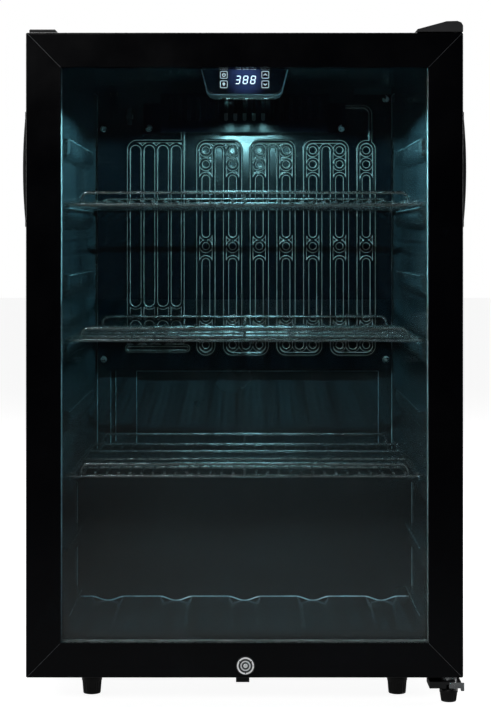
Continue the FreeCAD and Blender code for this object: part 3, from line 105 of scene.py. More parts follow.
# ---- node helpers ----------------------------------------------------------------------------
class Look:
    """One procedural material: a Principled shader with noise in its colour, gloss and relief."""

    def __init__(self, name, colour, rough, metal=0.0, **sockets):
        self.material = bpy.data.materials.new(name)
        self.material.use_nodes = True
        self.nodes = self.material.node_tree.nodes
        self.links = self.material.node_tree.links
        self.shader = self.nodes["Principled BSDF"]
        self.colour = (*colour, 1.0)
        self.rough = rough
        self.height = None
        self.set("Base Color", self.colour)
        self.set("Roughness", rough)
        self.set("Metallic", metal)
        for socket, value in sockets.items():
            self.set(socket.replace("_", " "), value)
        self.place = self.nodes.new("ShaderNodeTexCoord").outputs["Object"]

    def set(self, socket, value):
        self.shader.inputs[socket].default_value = value

    def stretched(self, stretch):
        """Object coordinates scaled by a different amount along each axis."""
        mapping = self.nodes.new("ShaderNodeMapping")
        mapping.inputs["Scale"].default_value = stretch
        self.links.new(self.place, mapping.inputs["Vector"])
        return mapping.outputs["Vector"]

    def noise(self, scale, detail=3.0, stretch=None):
        """A noise pattern from 0 to 1, as a socket."""
        node = self.nodes.new("ShaderNodeTexNoise")
        node.inputs["Scale"].default_value = scale
        node.inputs["Detail"].default_value = detail
        self.links.new(self.stretched(stretch) if stretch else self.place, node.inputs["Vector"])
        return node.outputs["Fac"]

    def cells(self, scale, feature="F1"):
        """A cell pattern's distance, as a socket."""
        node = self.nodes.new("ShaderNodeTexVoronoi")
        node.feature = feature
        node.inputs["Scale"].default_value = scale
        self.links.new(self.place, node.inputs["Vector"])
        return node.outputs["Distance"]

    def ramp(self, value, low, high, start=0.3, end=0.7):
        """Maps a pattern from one range to another."""
        node = self.nodes.new("ShaderNodeMapRange")
        node.inputs["From Min"].default_value = start
        node.inputs["From Max"].default_value = end
        node.inputs["To Min"].default_value = low
        node.inputs["To Max"].default_value = high
        self.links.new(value, node.inputs["Value"])
        return node.outputs["Result"]

    def vary_gloss(self, value, spread):
        """Makes the roughness wander by a spread either side of its mean."""
        gloss = self.ramp(value, max(self.rough - spread, 0.02), self.rough + spread)
        self.links.new(gloss, self.shader.inputs["Roughness"])
        return self

    def vary_colour(self, value, other, start=0.35, end=0.65):
        """Mixes the colour with another by a pattern."""
        mix = self.nodes.new("ShaderNodeMix")
        mix.data_type = "RGBA"
        mix.inputs["A"].default_value = self.colour
        mix.inputs["B"].default_value = (*other, 1.0)
        self.links.new(self.ramp(value, 0.0, 1.0, start, end), mix.inputs["Factor"])
        self.links.new(mix.outputs["Result"], self.shader.inputs["Base Color"])
        return self

    def lit_spot(self, centre, radius, colour, strength):
        """A round patch that glows, brightest in its middle; centre is x and z."""
        gap = self.nodes.new("ShaderNodeVectorMath")
        gap.operation = "DISTANCE"
        gap.inputs[1].default_value = (centre[0], 0.0, centre[1])
        self.links.new(self.stretched((1.0, 0.0, 1.0)), gap.inputs[0])
        fade = self.ramp(gap.outputs["Value"], strength, 0.0, 0.0, radius)
        fade.node.interpolation_type = "SMOOTHERSTEP"
        self.set("Emission Color", (*colour, 1.0))
        self.links.new(fade, self.shader.inputs["Emission Strength"])
        return self

    def relief(self, value, depth, strength=1.0):
        """Adds a bump of a depth in metres on top of any earlier one."""
        bump = self.nodes.new("ShaderNodeBump")
        bump.inputs["Distance"].default_value = depth
        bump.inputs["Strength"].default_value = strength
        self.links.new(value, bump.inputs["Height"])
        if self.height is not None:
            self.links.new(self.height, bump.inputs["Normal"])
        self.height = bump.outputs["Normal"]
        self.links.new(self.height, self.shader.inputs["Normal"])
        return self


# ---- materials -------------------------------------------------------------------------------
def cabinet_paint():
    look = Look("cabinet_paint", (0.006, 0.0065, 0.008), 0.42)
    look.vary_gloss(look.noise(18.0), 0.06)
    look.vary_colour(look.noise(6.0), (0.009, 0.0095, 0.011))
    return look.relief(look.noise(1400.0, 2.0), 0.00008, 0.35)


def base_steel():
    look = Look("base_steel", (0.012, 0.012, 0.013), 0.38)
    look.vary_gloss(look.noise(60.0), 0.08)
    look.vary_colour(look.noise(40.0), (0.02, 0.02, 0.021))
    return look.relief(look.noise(900.0), 0.00005, 0.4)


def galvanised():
    look = Look("galvanised", (0.42, 0.43, 0.44), 0.38, metal=1.0)
    look.vary_colour(look.cells(70.0), (0.58, 0.59, 0.6), 0.1, 0.8)
    return look.vary_gloss(look.noise(90.0), 0.1)


def liner_plastic():
    look = Look("liner_plastic", (0.0068, 0.0108, 0.0134), 0.2)
    look.vary_gloss(look.noise(26.0, 4.0, stretch=(1.0, 1.0, 0.06)), 0.05)
    look.vary_colour(look.noise(9.0, 4.0), (0.0092, 0.0148, 0.018))
    look.relief(look.noise(16.0, 2.0), 0.0005, 0.3)
    look.relief(look.noise(60.0, 3.0, stretch=(0.04, 0.04, 1.0)), 0.0002, 0.3)
    return look.relief(look.noise(420.0, 2.0), 0.00005, 0.25)


def foam():
    look = Look("foam", (0.72, 0.62, 0.36), 0.85)
    look.vary_colour(look.noise(30.0), (0.62, 0.52, 0.28))
    return look.relief(look.cells(260.0), 0.0006)


def evaporator_coat():
    """Black coated plate, with pale colour painted along the shoulders of the channels as a painted highlight.
    """
    look = Look("evaporator_coat", (0.0006, 0.0016, 0.0026), 0.12)
    height = look.nodes.new("ShaderNodeAttribute")
    height.attribute_name = "channel"
    rising = look.ramp(height.outputs["Fac"], 0.0, 1.0, 0.08, 0.22)
    falling = look.ramp(height.outputs["Fac"], 1.0, 0.0, 0.42, 0.62)
    both = look.nodes.new("ShaderNodeMath")
    both.operation = "MULTIPLY"
    look.links.new(rising, both.inputs[0])
    look.links.new(falling, both.inputs[1])
    # painted highlight: the shoulders between the channels' feet and crests are coloured pale where they would
    # catch the light
    look.vary_colour(both.outputs["Value"], (0.105, 0.092, 0.088), 0.0, 1.0)
    look.vary_gloss(look.noise(30.0, 4.0), 0.02)
    return look.relief(look.noise(240.0), 0.00003, 0.1)


def bare_aluminium():
    look = Look("bare_aluminium", (0.55, 0.57, 0.6), 0.3, metal=1.0)
    look.vary_colour(look.noise(120.0), (0.42, 0.44, 0.47))
    return look.vary_gloss(look.noise(300.0, 2.0, stretch=(1.0, 1.0, 0.1)), 0.1)


def black_plastic():
    look = Look("black_plastic", (0.006, 0.0065, 0.0075), 0.34)
    look.vary_gloss(look.noise(60.0), 0.06)
    look.vary_colour(look.noise(20.0), (0.009, 0.0095, 0.011))
    return look.relief(look.noise(1600.0, 2.0), 0.00004, 0.4)


def gloss_black():
    look = Look("gloss_black", (0.0005, 0.0006, 0.0014), 0.22, Specular_IOR_Level=0.28)
    look.vary_gloss(look.noise(14.0, 4.0), 0.05)
    look.vary_colour(look.noise(5.0), (0.0009, 0.001, 0.0022))
    return look.relief(look.noise(90.0, 2.0), 0.00004, 0.25)


def fan_plastic():
    look = Look("fan_plastic", (0.012, 0.012, 0.012), 0.45)
    look.vary_colour(look.noise(90.0), (0.018, 0.018, 0.018))
    return look.vary_gloss(look.noise(150.0), 0.08)


def white_plastic():
    look = Look("white_plastic", (0.68, 0.7, 0.7), 0.4)
    look.vary_colour(look.noise(120.0), (0.6, 0.62, 0.62))
    return look.vary_gloss(look.noise(200.0), 0.08)


def board():
    look = Look("board", (0.01, 0.09, 0.035), 0.35)
    look.vary_colour(look.cells(420.0, "DISTANCE_TO_EDGE"), (0.02, 0.15, 0.07), 0.02, 0.06)
    return look.vary_gloss(look.noise(300.0), 0.08)


def lens():
    look = Look("lens", (0.9, 0.97, 1.0), 0.12, Transmission_Weight=0.9, IOR=1.49)
    look.vary_gloss(look.noise(200.0), 0.05)
    return look.relief(look.noise(500.0), 0.00006, 0.4)


def zinc():
    look = Look("zinc", (0.6, 0.61, 0.62), 0.28, metal=1.0)
    look.vary_colour(look.noise(160.0), (0.45, 0.46, 0.48))
    return look.vary_gloss(look.noise(240.0), 0.1)


def chrome():
    look = Look("chrome", (0.86, 0.87, 0.88), 0.33, metal=0.6)
    look.vary_colour(look.noise(220.0), (0.74, 0.75, 0.77))
    return look.vary_gloss(look.noise(300.0), 0.06)


def glass():
    """Clear glass with faint wiping marks; it lets lamp light pass straight through."""
    look = Look("glass", (0.97, 0.995, 0.99), 0.0, Transmission_Weight=1.0, IOR=1.45)
    smear = look.ramp(look.noise(7.0, 3.0, stretch=(1.0, 1.0, 0.2)), 0.0, 0.003)
    look.links.new(smear, look.shader.inputs["Roughness"])
    clear = look.nodes.new("ShaderNodeBsdfTransparent")
    clear.inputs["Color"].default_value = (0.93, 0.96, 0.95, 1.0)
    mix = look.nodes.new("ShaderNodeMixShader")
    look.links.new(look.nodes.new("ShaderNodeLightPath").outputs["Is Shadow Ray"], mix.inputs["Fac"])
    look.links.new(look.shader.outputs["BSDF"], mix.inputs[1])
    look.links.new(clear.outputs["BSDF"], mix.inputs[2])
    look.links.new(mix.outputs["Shader"], look.nodes["Material Output"].inputs["Surface"])
    return look


def gasket_rubber():
    look = Look("gasket_rubber", (0.013, 0.013, 0.014), 0.55)
    look.vary_colour(look.noise(80.0), (0.02, 0.02, 0.021))
    return look.vary_gloss(look.noise(160.0), 0.1)


def foot_plastic():
    look = Look("foot_plastic", (0.0035, 0.0035, 0.0036), 0.4)
    look.vary_colour(look.noise(140.0), (0.006, 0.006, 0.0062))
    return look.vary_gloss(look.noise(220.0), 0.1)


def rubber():
    look = Look("rubber", (0.02, 0.02, 0.02), 0.7)
    look.vary_colour(look.noise(100.0), (0.032, 0.032, 0.032))
    return look.vary_gloss(look.noise(180.0), 0.1)


def compressor_paint():
    look = Look("compressor_paint", (0.008, 0.008, 0.009), 0.24)
    look.vary_gloss(look.noise(40.0), 0.1)
    return look.vary_colour(look.noise(24.0), (0.02, 0.019, 0.018))


def copper():
    look = Look("copper", (0.72, 0.34, 0.2), 0.3, metal=1.0)
    look.vary_colour(look.noise(60.0), (0.42, 0.2, 0.12))
    return look.vary_gloss(look.noise(150.0), 0.12)


def shelf_wire():
    look = Look("shelf_wire", (0.52, 0.53, 0.54), 0.17, metal=1.0)
    look.vary_colour(look.noise(70.0), (0.38, 0.39, 0.4))
    return look.vary_gloss(look.noise(160.0), 0.05)


def glow(name, colour, strength):
    """A lamp surface: dim plastic that gives out light, slightly uneven."""
    look = Look(name, colour, 0.35)
    look.set("Emission Color", (*colour, 1.0))
    look.set("Emission Strength", strength)
    return look.vary_gloss(look.noise(400.0), 0.1)


MAKERS = [cabinet_paint, base_steel, galvanised, liner_plastic, foam, evaporator_coat, bare_aluminium,
          black_plastic, gloss_black, fan_plastic, white_plastic, board, lens, zinc, chrome, glass,
          gasket_rubber, foot_plastic, rubber, compressor_paint, copper, shelf_wire]
LOOKS = {maker.__name__: maker().material for maker in MAKERS}
SLOT_OF = {entry["node"]: entry["material_slot"] for entry in frame["record"]["subparts"]}


def duct_plastic():
    """The glossy black moulding of the fan cover."""
    look = Look("duct_plastic", (0.0009, 0.001, 0.0018), 0.1, Specular_IOR_Level=0.03)
    look.vary_gloss(look.noise(40.0), 0.03)
    look.vary_colour(look.noise(24.0), (0.0016, 0.0019, 0.0028))
    return look.relief(look.noise(60.0, 2.0), 0.0002, 0.3).material


def cover_plastic():
    """The satin moulding of the upper hinge cover, a little paler than the cabinet."""
    look = Look("cover_plastic", (0.03, 0.03, 0.033), 0.5)
    look.vary_gloss(look.noise(60.0), 0.06)
    look.vary_colour(look.noise(30.0), (0.038, 0.038, 0.042))
    return look.relief(look.noise(1500.0, 2.0), 0.00005, 0.4).material


def panel_gloss(name, strength):
    """The control panel's glossy face, with the display's blue glow on it."""
    look = Look(name, (0.0035, 0.005, 0.010), 0.2)
    look.vary_colour(look.noise(60.0), (0.005, 0.0075, 0.015))
    look.vary_gloss(look.noise(90.0), 0.04)
    return look.lit_spot(DISPLAY_CENTRE, DISPLAY_GLOW_RADIUS, DISPLAY_BLUE, strength).material


def dress_cad_nodes():
    """Gives every CAD node the procedural material of its slot, or one of its own."""
    own = {
        "fan_cover": duct_plastic(),
        "upper_hinge_cover": cover_plastic(),
        "temperature_sensor": LOOKS["black_plastic"],
        "evaporator_tubes": LOOKS["gloss_black"],
        "control_fascia": panel_gloss("fascia_gloss", 0.16),
        "display_module": panel_gloss("display_gloss", 0.12),
    }
    for name, node in NODES.items():
        material = own.get(name, LOOKS[SLOT_OF[name]])
        if not node.material_slots:
            node.data.materials.append(material)
        for slot in node.material_slots:
            slot.material = material


def soften(width, names, segments=2):
    """Rounds the sharp edges of CAD nodes by a small radius."""
    for name in names:
        bevel = NODES[name].modifiers.new("edge_radius", "BEVEL")
        bevel.width = width
        bevel.segments = segments
        bevel.limit_method = "ANGLE"
        bevel.angle_limit = SHARP_ANGLE


# ---- mesh helpers ----------------------------------------------------------------------------
def piece(name, vertices, faces, body, look, slot=None, smooth=True):
    """A finished mesh that rides on a CAD body."""
    mesh = bpy.data.meshes.new(name)
    mesh.from_pydata(vertices, [], faces)
    mesh.validate()
    if smooth:
        mesh.polygons.foreach_set("use_smooth", [True] * len(mesh.polygons))
        mesh.set_sharp_from_angle(angle=SHARP_ANGLE)
    made = bpy.data.objects.new(name, mesh)
    bpy.context.scene.collection.objects.link(made)
    mesh.materials.append(look)
    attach(made, body)
    return made


def ribbon(points, width, y_front, thickness, closed=False):
    """A flat strip with square edges that follows points in the XZ plane, as vertices and faces."""
    points = [np.array(p, dtype=float) for p in points]
    count = len(points)
    rows = []
    for index, point in enumerate(points):
        before = points[index - 1] if (closed or index > 0) else point
        after = points[(index + 1) % count] if (closed or index < count - 1) else point
        into = (point - before) / max(np.linalg.norm(point - before), 1e-9)
        out = (after - point) / max(np.linalg.norm(after - point), 1e-9)
        way = into + out
        way /= np.linalg.norm(way)
        lead = out if np.linalg.norm(out) > 0.5 else into
        side = np.array([-way[1], way[0]]) * width / 2 / max(abs(float(way @ lead)), 0.4)
        rows.append((point + side, point - side))
    vertices = []
    for left, right in rows:
        for x, z in (left, right):
            vertices += [(x, y_front, z), (x, y_front + thickness, z)]
    faces = []
    last = count if closed else count - 1
    for index in range(last):
        a, b = 4 * index, 4 * ((index + 1) % count)
        faces += [(a, b, b + 2, a + 2), (a + 1, a + 3, b + 3, b + 1),
                  (a, a + 1, b + 1, b), (a + 2, b + 2, b + 3, a + 3)]
    if not closed:
        end = 4 * (count - 1)
        faces += [(0, 2, 3, 1), (end, end + 1, end + 3, end + 2)]
    return vertices, faces


def join(shapes):
    """Several vertex and face lists as one."""
    vertices, faces = [], []
    for some_vertices, some_faces in shapes:
        base = len(vertices)
        vertices += some_vertices
        faces += [tuple(i + base for i in face) for face in some_faces]
    return vertices, faces


def arc(cx, cz, radius, start, end, steps=10):
    """Points on a circle in the XZ plane, angles in degrees from +X."""
    angles = np.radians(np.linspace(start, end, steps + 1))
    return [(cx + radius * math.cos(a), cz + radius * math.sin(a)) for a in angles]


def rounded_square(cx, cz, half, corner):
    """The outline of a square with round corners."""
    points = []
    for sx, sz, start in ((1, 1, 0), (-1, 1, 90), (-1, -1, 180), (1, -1, 270)):
        points += arc(cx + sx * (half - corner), cz + sz * (half - corner), corner, start, start + 90, 5)
    return points


def turned(profile, cx, cy, steps=96, flutes=0, flute_depth=0.0):
    """A turned shape about an upright axis, closed at both ends, with optional upright flutes."""
    vertices, faces = [], []
    for radius, z, fluted in profile:
        for k in range(steps):
            angle = 2 * math.pi * k / steps
            dip = flute_depth * fluted * (0.5 - 0.5 * math.cos(flutes * angle))
            vertices.append((cx + (radius - dip) * math.cos(angle), cy + (radius - dip) * math.sin(angle), z))
    for ring in range(len(profile) - 1):
        for k in range(steps):
            a, b = ring * steps + k, ring * steps + (k + 1) % steps
            faces.append((a, b, b + steps, a + steps))
    top = (len(profile) - 1) * steps
    faces.append(tuple(reversed(range(steps))))
    faces.append(tuple(range(top, top + steps)))
    return vertices, faces


# ---- evaporator ------------------------------------------------------------------------------
def distance_to_line(x, z, start, end):
    """Distance of every grid point from a straight run."""
    (ax, az), (bx, bz) = start, end
    dx, dz = bx - ax, bz - az
    along = np.clip(((x - ax) * dx + (z - az) * dz) / (dx * dx + dz * dz), 0.0, 1.0)
    return np.hypot(x - ax - along * dx, z - az - along * dz)


def distance_to_arc(x, z, centre, radius, start, end):
    """Distance of every grid point from part of a circle, angles in degrees from +X."""
    cx, cz = centre
    angle = np.degrees(np.arctan2(z - cz, x - cx))
    turn = (angle - start) % 360.0
    on_arc = turn <= (end - start)
    ring = np.abs(np.hypot(x - cx, z - cz) - radius)
    ends = [np.hypot(x - cx - radius * math.cos(math.radians(a)), z - cz - radius * math.sin(math.radians(a)))
            for a in (start, end)]
    return np.where(on_arc, ring, np.minimum(*ends))


class Channels:
    """The refrigerant channels as a height over the plate: plan sizes in millimetres, height in metres."""

    def __init__(self, x, z, half_width, rise):
        self.x, self.z = x, z
        self.half_width, self.rise = half_width, rise
        self.height = np.zeros_like(x)

    def add(self, distance, half_width=None):
        """Raises a rounded ridge along the line that the distances are measured from."""
        half = half_width or self.half_width
        bump = self.rise * (0.5 + 0.5 * np.cos(math.pi * np.clip(distance / half, 0.0, 1.0)))
        self.height = np.maximum(self.height, bump)

    def line(self, start, end):
        self.add(distance_to_line(self.x, self.z, start, end))

    def arc(self, centre, radius, start, end):
        self.add(distance_to_arc(self.x, self.z, centre, radius, start, end))

    def ring(self, centre, radius):
        self.add(np.abs(np.hypot(self.x - centre[0], self.z - centre[1]) - radius))

    def loop(self, x, low, high, radius):
        """A closed upright loop with round ends; low and high are the centres of its ends."""
        self.add(np.abs(distance_to_line(self.x, self.z, (x, low), (x, high)) - radius))


PLATE_GRID = 1.0
PLATE_SHEET = 1.5 * MM
CHANNEL_HALF_WIDTH = 2.9
CHANNEL_RISE = 1.4 * MM
NOTCH_RIGHT, NOTCH_BOTTOM = 119.0, 668.0
COLUMN_PITCH = 35.0
COLUMNS = [-50.7 + COLUMN_PITCH * index for index in range(7)]
SIDE_RUN = 10.1
RING = 6.6
RING_HEIGHTS = (628.0, 609.7, 502.4, 391.0, 373.0)
LOOP_SPANS = ((519.0, 590.3), (409.0, 481.2))
LOOP = RING + 0.4
TURN = COLUMN_PITCH / 2 - SIDE_RUN
HEAD_Z, FOOT_Z = 629.0, 371.5


def right_channels(plan):
    """Seven columns of rings and loops, snaking up and down in pairs."""
    for x in COLUMNS:
        for z in RING_HEIGHTS:
            plan.ring((x, z), RING)
        for low, high in LOOP_SPANS:
            plan.loop(x, low, high, LOOP)
        for side in (-1, 1):
            plan.line((x + side * SIDE_RUN, FOOT_Z), (x + side * SIDE_RUN, HEAD_Z))
    for first in (0, 2, 4):
        left, right = COLUMNS[first] - SIDE_RUN, COLUMNS[first + 1] + SIDE_RUN
        plan.arc((left + SIDE_RUN, HEAD_Z), SIDE_RUN, 90, 180)
        plan.arc((right - SIDE_RUN, HEAD_Z), SIDE_RUN, 0, 90)
        plan.line((left + SIDE_RUN, HEAD_Z + SIDE_RUN), (right - SIDE_RUN, HEAD_Z + SIDE_RUN))
        plan.arc((COLUMNS[first] + COLUMN_PITCH / 2, HEAD_Z - 1.5), TURN, 0, 180)
    for first in (1, 3, 5):
        left, right = COLUMNS[first] - SIDE_RUN, COLUMNS[first + 1] + SIDE_RUN
        plan.arc((left + SIDE_RUN, FOOT_Z), SIDE_RUN, 180, 270)
        plan.arc((right - SIDE_RUN, FOOT_Z), SIDE_RUN, 270, 360)
        plan.line((left + SIDE_RUN, FOOT_Z - SIDE_RUN), (right - SIDE_RUN, FOOT_Z - SIDE_RUN))
        plan.arc((COLUMNS[first] + COLUMN_PITCH / 2, FOOT_Z + 1.5), TURN, 180, 360)
    plan.arc((COLUMNS[0], FOOT_Z), SIDE_RUN, 180, 360)
    last = COLUMNS[-1]
    plan.arc((last, HEAD_Z), SIDE_RUN, 0, 180)
    plan.line((last + 5.4, HEAD_Z + 8.0), (last + 5.4, 675.0))
    plan.arc((last - 4.6, 675.0), 10.0, 0, 90)
    plan.line((last - 4.6, 685.0), (128.0, 685.0))


def left_channels(plan):
    """The parallel runs on the left with round turns, and the flat loop below them."""
    runs = [-151.6, -133.7, -115.8, -98.0, -81.0]
    top, bottom, second = 627.5, 430.5, 398.0
    for x in runs:
        plan.line((x, 376.0), (x, top))
    for left, right in zip(runs, runs[1:]):
        middle, radius = (left + right) / 2, (right - left) / 2
        plan.arc((middle, top), radius, 0, 180)
        plan.arc((middle, bottom), radius, 180, 360)
        plan.arc((middle, second), radius, 0, 180)
        plan.arc((middle, 384.0), radius, 180, 360)
    plan.arc((runs[0] + 11.0, 628.5), 11.0, 90, 180)
    plan.line((runs[0] + 11.0, 639.5), (runs[-1], 639.5))
    plan.line((runs[-1], top), (runs[-1], 664.0))
    flat = distance_to_line(plan.x, plan.z, (-151.5, 368.6), (-76.5, 368.6))
    plan.add(np.abs(flat - 3.6), 1.9)


def evaporator():
    """The roll-bond plate, as a fine mesh whose front follows the channels."""
    (x0, y0, z0), (x1, y1, z1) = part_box("evaporator_plate")
    xs = np.arange(x0 / MM, x1 / MM + 0.01, PLATE_GRID)
    zs = np.arange(z0 / MM, z1 / MM + 0.01, PLATE_GRID)
    x, z = np.meshgrid(xs, zs)
    plan = Channels(x, z, CHANNEL_HALF_WIDTH, CHANNEL_RISE)
    right_channels(plan)
    left_channels(plan)
    sheet_front = y1 - PLATE_SHEET
    warp = 0.00012 * np.sin(x / 31.0) * np.cos(z / 43.0)
    y = sheet_front - plan.height - np.abs(warp)
    rows, columns = x.shape
    front = np.stack([x * MM, y, z * MM], axis=-1).reshape(-1, 3)
    back = np.stack([x * MM, np.full_like(x, y1), z * MM], axis=-1).reshape(-1, 3)
    notch = (x < NOTCH_RIGHT) & (z > NOTCH_BOTTOM)
    grid = np.arange(rows * columns).reshape(rows, columns)
    keep = ~(notch[:-1, :-1] | notch[1:, 1:])
    cells = np.argwhere(keep)
    total = rows * columns
    faces, border = [], set()  # an edge that only one cell has is on the border
    for r, c in cells:
        corners = (grid[r, c], grid[r, c + 1], grid[r + 1, c + 1], grid[r + 1, c])
        faces.append(corners)
        for a, b in zip(corners, corners[1:] + corners[:1]):
            if (b, a) in border:
                border.remove((b, a))
            else:
                border.add((a, b))
    follower = dict(border)
    start = min(follower)
    outline = [start]
    while follower[outline[-1]] != start:
        outline.append(follower[outline[-1]])
    faces += [(b, a, total + a, total + b) for a, b in zip(outline, outline[1:] + outline[:1])]
    faces.append(tuple(total + i for i in reversed(outline)))
    vertices = np.concatenate([front, back])
    used = sorted({corner for face in faces for corner in face})
    index = np.full(len(vertices), -1)
    index[used] = np.arange(len(used))
    faces = [tuple(index[list(face)].tolist()) for face in faces]
    plate = piece("evaporator_relief", vertices[used].tolist(), faces, "cabinet", LOOKS["evaporator_coat"],
                  "evaporator_coat")
    # The channel height is kept on the mesh; the coat's material paints the shoulders' highlight from it.
    share = np.concatenate([(plan.height / plan.rise).ravel(), np.zeros(total)])[used]
    plate.data.attributes.new("channel", "FLOAT", "POINT").data.foreach_set("value", share.astype(np.float32))
    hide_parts("evaporator_plate")


# ---- seal and feet ---------------------------------------------------------------------------
SEAL_RISE = 8.7 * MM
REAR_FOOT_R = 11.4 * MM
FOOT_HEIGHT = 21.5 * MM
HINGE_FOOT_HEIGHT = 14.4 * MM
THREAD_PITCH = 1.25 * MM
STUD_R, STUD_ROOT_R = 4.0 * MM, 3.4 * MM
RIB_COUNT, RIB_DEPTH = 24, 0.55 * MM


def door_seal():
    """The magnetic seal with its folded bellows, mitred at the corners."""
    (x0, y0, z0), (x1, y1, z1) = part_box("door_gasket")
    y_base = y1 - SEAL_RISE
    profile = [(0.0, 8.7), (9.5, 8.7), (10.2, 8.2), (10.2, 6.4), (9.5, 5.9), (12.6, 5.2), (14.0, 3.6),
               (13.2, 1.6), (11.0, 0.0), (9.3, 0.0), (9.3, -4.2), (6.8, -4.2), (6.8, 0.0), (2.0, 0.0),
               (1.0, 1.0), (3.6, 2.6), (0.8, 4.4), (0.0, 5.6)]
    vertices, faces = [], []
    for inset, rise in profile:
        y = y_base + rise * MM
        low_x, high_x = x0 + inset * MM, x1 - inset * MM
        low_z, high_z = z0 + inset * MM, z1 - inset * MM
        vertices += [(low_x, y, low_z), (high_x, y, low_z), (high_x, y, high_z), (low_x, y, high_z)]
    count = len(profile)
    for k in range(count):
        a, b = 4 * k, 4 * ((k + 1) % count)
        for corner in range(4):
            after = (corner + 1) % 4
            faces.append((a + corner, b + corner, b + after, a + after))
    seal = piece("bellows_seal", vertices, faces, "door", LOOKS["gasket_rubber"], "gasket_rubber")
    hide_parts("door_gasket")


def ribbed_foot(node, body, cx, cy, low_r, high_r, height, stud_top):
    """A tapered foot with upright ribs, a plain collar and its threaded stud."""
    ribs_low, ribs_top, rib_r = 1.8 * MM, height * 0.66, high_r * 0.955
    profile = [(low_r * 0.84, 0.0, 0), (low_r * 0.97, 0.4 * MM, 0),
               (low_r, 1.4 * MM, 0), (low_r, ribs_low, 1)]
    for k in range(1, 6):
        share = k / 5
        profile.append((low_r + (rib_r - low_r) * share, ribs_low + (ribs_top - ribs_low) * share, 1))
    profile += [(rib_r, ribs_top + 0.2 * MM, 0), (high_r, ribs_top + 0.9 * MM, 0),
                (high_r, height - 0.9 * MM, 0), (high_r * 0.95, height, 0), (STUD_R, height, 0)]
    z = height + 0.3 * MM
    while z < stud_top - THREAD_PITCH:
        profile += [(STUD_R, z, 0), (STUD_ROOT_R, z + THREAD_PITCH / 2, 0)]
        z += THREAD_PITCH
    profile += [(STUD_R, stud_top - 0.5 * MM, 0), (STUD_ROOT_R, stud_top, 0)]
    shape = turned(profile, cx, cy, 96, RIB_COUNT, RIB_DEPTH)
    return piece("ribbed_" + node, *shape, body, LOOKS["foot_plastic"], "foot_plastic")


def feet():
    """The five feet."""
    for node, body, taper, height in (("front_left_foot", "foot_left", 0.865, FOOT_HEIGHT),
                                      ("front_right_foot", "foot_right", 0.865, FOOT_HEIGHT),
                                      ("hinge_foot", "foot_hinge", 0.84, HINGE_FOOT_HEIGHT)):
        low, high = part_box(node)
        cx, cy = (low[0] + high[0]) / 2, (low[1] + high[1]) / 2
        radius = (high[0] - low[0]) / 2
        made = ribbed_foot(node, body, cx, cy, radius * taper, radius, height, high[2])
        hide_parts(node)
    low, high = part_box("rear_feet")
    cy = (low[1] + high[1]) / 2
    for name, cx in (("left", low[0] + REAR_FOOT_R), ("right", high[0] - REAR_FOOT_R)):
        made = ribbed_foot("rear_" + name + "_foot", "cabinet", cx, cy, REAR_FOOT_R * 0.865, REAR_FOOT_R,
                           FOOT_HEIGHT, high[2])
        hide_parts("rear_feet")


# ---- control panel ---------------------------------------------------------------------------
SEGMENTS = {"a": ((0, 1), (1, 1)), "b": ((1, 1), (1, 0.5)), "c": ((1, 0.5), (1, 0)), "d": ((0, 0), (1, 0)),
            "e": ((0, 0.5), (0, 0)), "f": ((0, 1), (0, 0.5)), "g": ((0, 0.5), (1, 0.5))}
FIGURES = {"3": "abcdg", "8": "abcdefg"}


def digits(figures="388"):
    """Three lit, slanted seven-segment figures."""
    low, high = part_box("display_module")
    face = low[1] - 0.12 * MM
    pitch, wide, tall, slant, shrink = 8.6 * MM, 4.6 * MM, 8.6 * MM, 0.16, 0.1
    centre_x, base_z = 0.4 * MM, 688.6 * MM
    shapes = []
    for place, figure in enumerate(figures):
        left = centre_x + (place - 1) * pitch - wide / 2
        for segment in FIGURES[figure]:
            ends = []
            (ax, az), (bx, bz) = SEGMENTS[segment]
            for (ux, uz), (vx, vz) in (((ax, az), (bx, bz)), ((bx, bz), (ax, az))):
                px, pz = ux + (vx - ux) * shrink, uz + (vz - uz) * shrink
                ends.append((left + px * wide + slant * pz * tall, base_z + pz * tall))
            shapes.append(ribbon(ends, 1.05 * MM, face, 0.12 * MM))
    lit = glow("digit_light", DIGIT_COLOUR, 1.6)
    piece("display_digits", *join(shapes), "cabinet", lit.material, "gloss_black", smooth=False)


def key_icons():
    """The outline and sign on each key, riding on the key."""
    lit = glow("icon_light", ICON_GREY, 0.75).material
    signs = {
        "power": [arc(0.0, -0.1, 1.7, 125, 415, 16), [(0.0, 0.2), (0.0, 2.1)]],
        "light": [arc(0.0, 0.5, 1.15, -60, 240, 14), [(-0.6, -1.4), (0.6, -1.4)], [(0.0, 0.9), (0.0, -0.9)]],
        "up": [[(-2.0, -0.8), (0.0, 1.1), (2.0, -0.8)]],
        "down": [[(-2.0, 0.8), (0.0, -1.1), (2.0, 0.8)]],
    }
    for key, lines in signs.items():
        node, body = key + "_button", "key_" + key
        low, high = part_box(node)
        x, z = (low[0] + high[0]) / 2, (low[2] + high[2]) / 2
        front, thick = low[1] - 0.1 * MM, 0.12 * MM
        shapes = [ribbon(rounded_square(x, z, 3.9 * MM, 1.3 * MM), 0.75 * MM, front, thick, closed=True)]
        for line in lines:
            placed = [(x + u * MM, z + v * MM) for u, v in line]
            shapes.append(ribbon(placed, 0.95 * MM, front, thick))
        piece(node + "_sign", *join(shapes), body, lit, "gloss_black", smooth=False)


